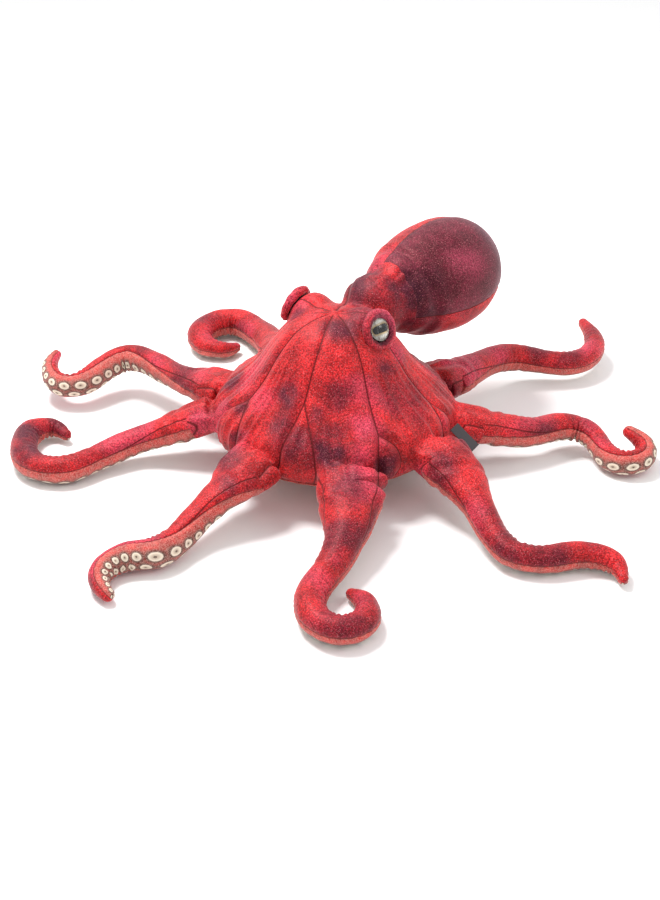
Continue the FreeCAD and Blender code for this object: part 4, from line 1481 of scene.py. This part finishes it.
def rounded_profile(middle, height, half_width, half_height):
    """A section with soft corners, as (radius, height), for the rolled hem."""
    outline = []
    for a in np.linspace(0, 2 * math.pi, 28, endpoint=False):
        c, t = math.cos(a), math.sin(a)
        outline.append((middle + half_width * math.copysign(abs(c) ** 0.7, c),
                        height + half_height * math.copysign(abs(t) ** 0.7, t)))
    return outline


base_underside = turned_solid("base_underside", even_outline(BASE_OUTLINE), 36, 0.25, 288)
print_towards_arms(base_underside)
finish_piece(base_underside, PRINT)
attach(base_underside, "skirt")
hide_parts("base_panel")

hem_roll = turned_solid("hem_roll", rounded_profile(46, 7, 3.9, 6.9), 44, 0.12, 352)
finish_piece(hem_roll, SATIN)
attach(hem_roll, "skirt")
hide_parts("sleeve_hem")

LINING_OUTLINE = [(42, 15), (43.2, 15), (35.2, 112), (34, 112)]
hand_lining = turned_solid("hand_lining", even_outline(LINING_OUTLINE), 13, 0.35)
finish_piece(hand_lining, SATIN)
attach(hand_lining, "skirt")
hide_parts("hand_sleeve")
print("base, hem and lining made")


# %% Finger pocket
GATHER = 0.8             # millimetres from the axis to the gathered cloth at its top


def make_finger_lining():
    """A closed cup of lining, its top gathered round the axis."""
    side = [(33, 119.5), (31, 124), (28, 131), (25, 138), (21.5, 144.5), (18, 147.2), (12, 148), (6, 148),
            (GATHER, 148)]
    inner = [(max(r - 1.2, GATHER), z - (1.2 if z > 147 else 0.3)) for r, z in side[::-1]]
    inner[-1] = (31.8, 119.5)
    made = turned_solid("finger_lining", side + inner, 11, 0.0)
    finish_piece(made, SATIN)
    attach(made, "head")
    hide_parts("finger_pocket")


make_finger_lining()

# %% [markdown]
# ## The seam tag
# A small folded ribbon is caught in the seam between two gores. It is a flat grid given a slight curl and
# two skins a millimetre apart, woven dark, with nothing written on it.


# %% Ribbon
def ribbon_material():
    m = Shading("woven_ribbon")
    weave = m.noise(m.attribute("rest", "Vector"), 1400.0, 2.0, 0.7)
    m.surface({"Base Color": m.mixed(weave, (0.015, 0.012, 0.014), (0.055, 0.045, 0.05)), "Roughness": 0.5})
    return m.material


TAG_CORNER = np.array([121.5, -45.4, 62.6]) * MM
TAG_WAY = unit(np.array([22.0, -12, -19]))
TAG_LENGTH, TAG_WIDTH, TAG_BOW = 31, 11, 0.6


def rim_of(rows, columns):
    """The numbers of a grid's outer points, in order round it."""
    rim = list(range(columns))
    rim += [i * columns + columns - 1 for i in range(1, rows)]
    rim += [(rows - 1) * columns + j for j in range(columns - 2, -1, -1)]
    return rim + [i * columns for i in range(rows - 2, 0, -1)]


def two_skins(rows, columns):
    """Faces of two grids, one above the other, joined round their rims."""
    faces, layer = [], rows * columns
    for i in range(rows - 1):
        for j in range(columns - 1):
            a = i * columns + j
            b, c, d = a + columns, a + columns + 1, a + 1
            faces += [(a, b, c, d), (layer + d, layer + c, layer + b, layer + a)]
    rim = rim_of(rows, columns)
    for a, b in zip(rim, rim[1:] + rim[:1]):
        faces.append((a, b, layer + b, layer + a))
    return faces


def make_tag():
    across = unit(np.cross(TAG_WAY, np.array([0.2, -0.75, 0.6])))
    up = np.cross(TAG_WAY, across)
    rows, columns = 32, 12
    t, w = np.meshgrid(np.linspace(0, TAG_LENGTH, rows), np.linspace(-TAG_WIDTH / 2, TAG_WIDTH / 2, columns),
                       indexing="ij")
    bow = np.sin(t / TAG_LENGTH * math.pi) * TAG_BOW
    skins = []
    for lift in (0.05, 0.95):
        place = t[..., None] * TAG_WAY + w[..., None] * across + (bow + lift)[..., None] * up
        skins.append((TAG_CORNER + MM * place).reshape(-1, 3))
    made = object_from("seam_tag", np.concatenate(skins), two_skins(rows, columns))
    close_up(made)
    keep_rest(made)
    finish_piece(made, ribbon_material())
    sharpen_caps(made)
    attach(made, "skirt")
    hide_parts("sewn_tag")


make_tag()
print("tag made")

# %% The end
print("all pieces made")
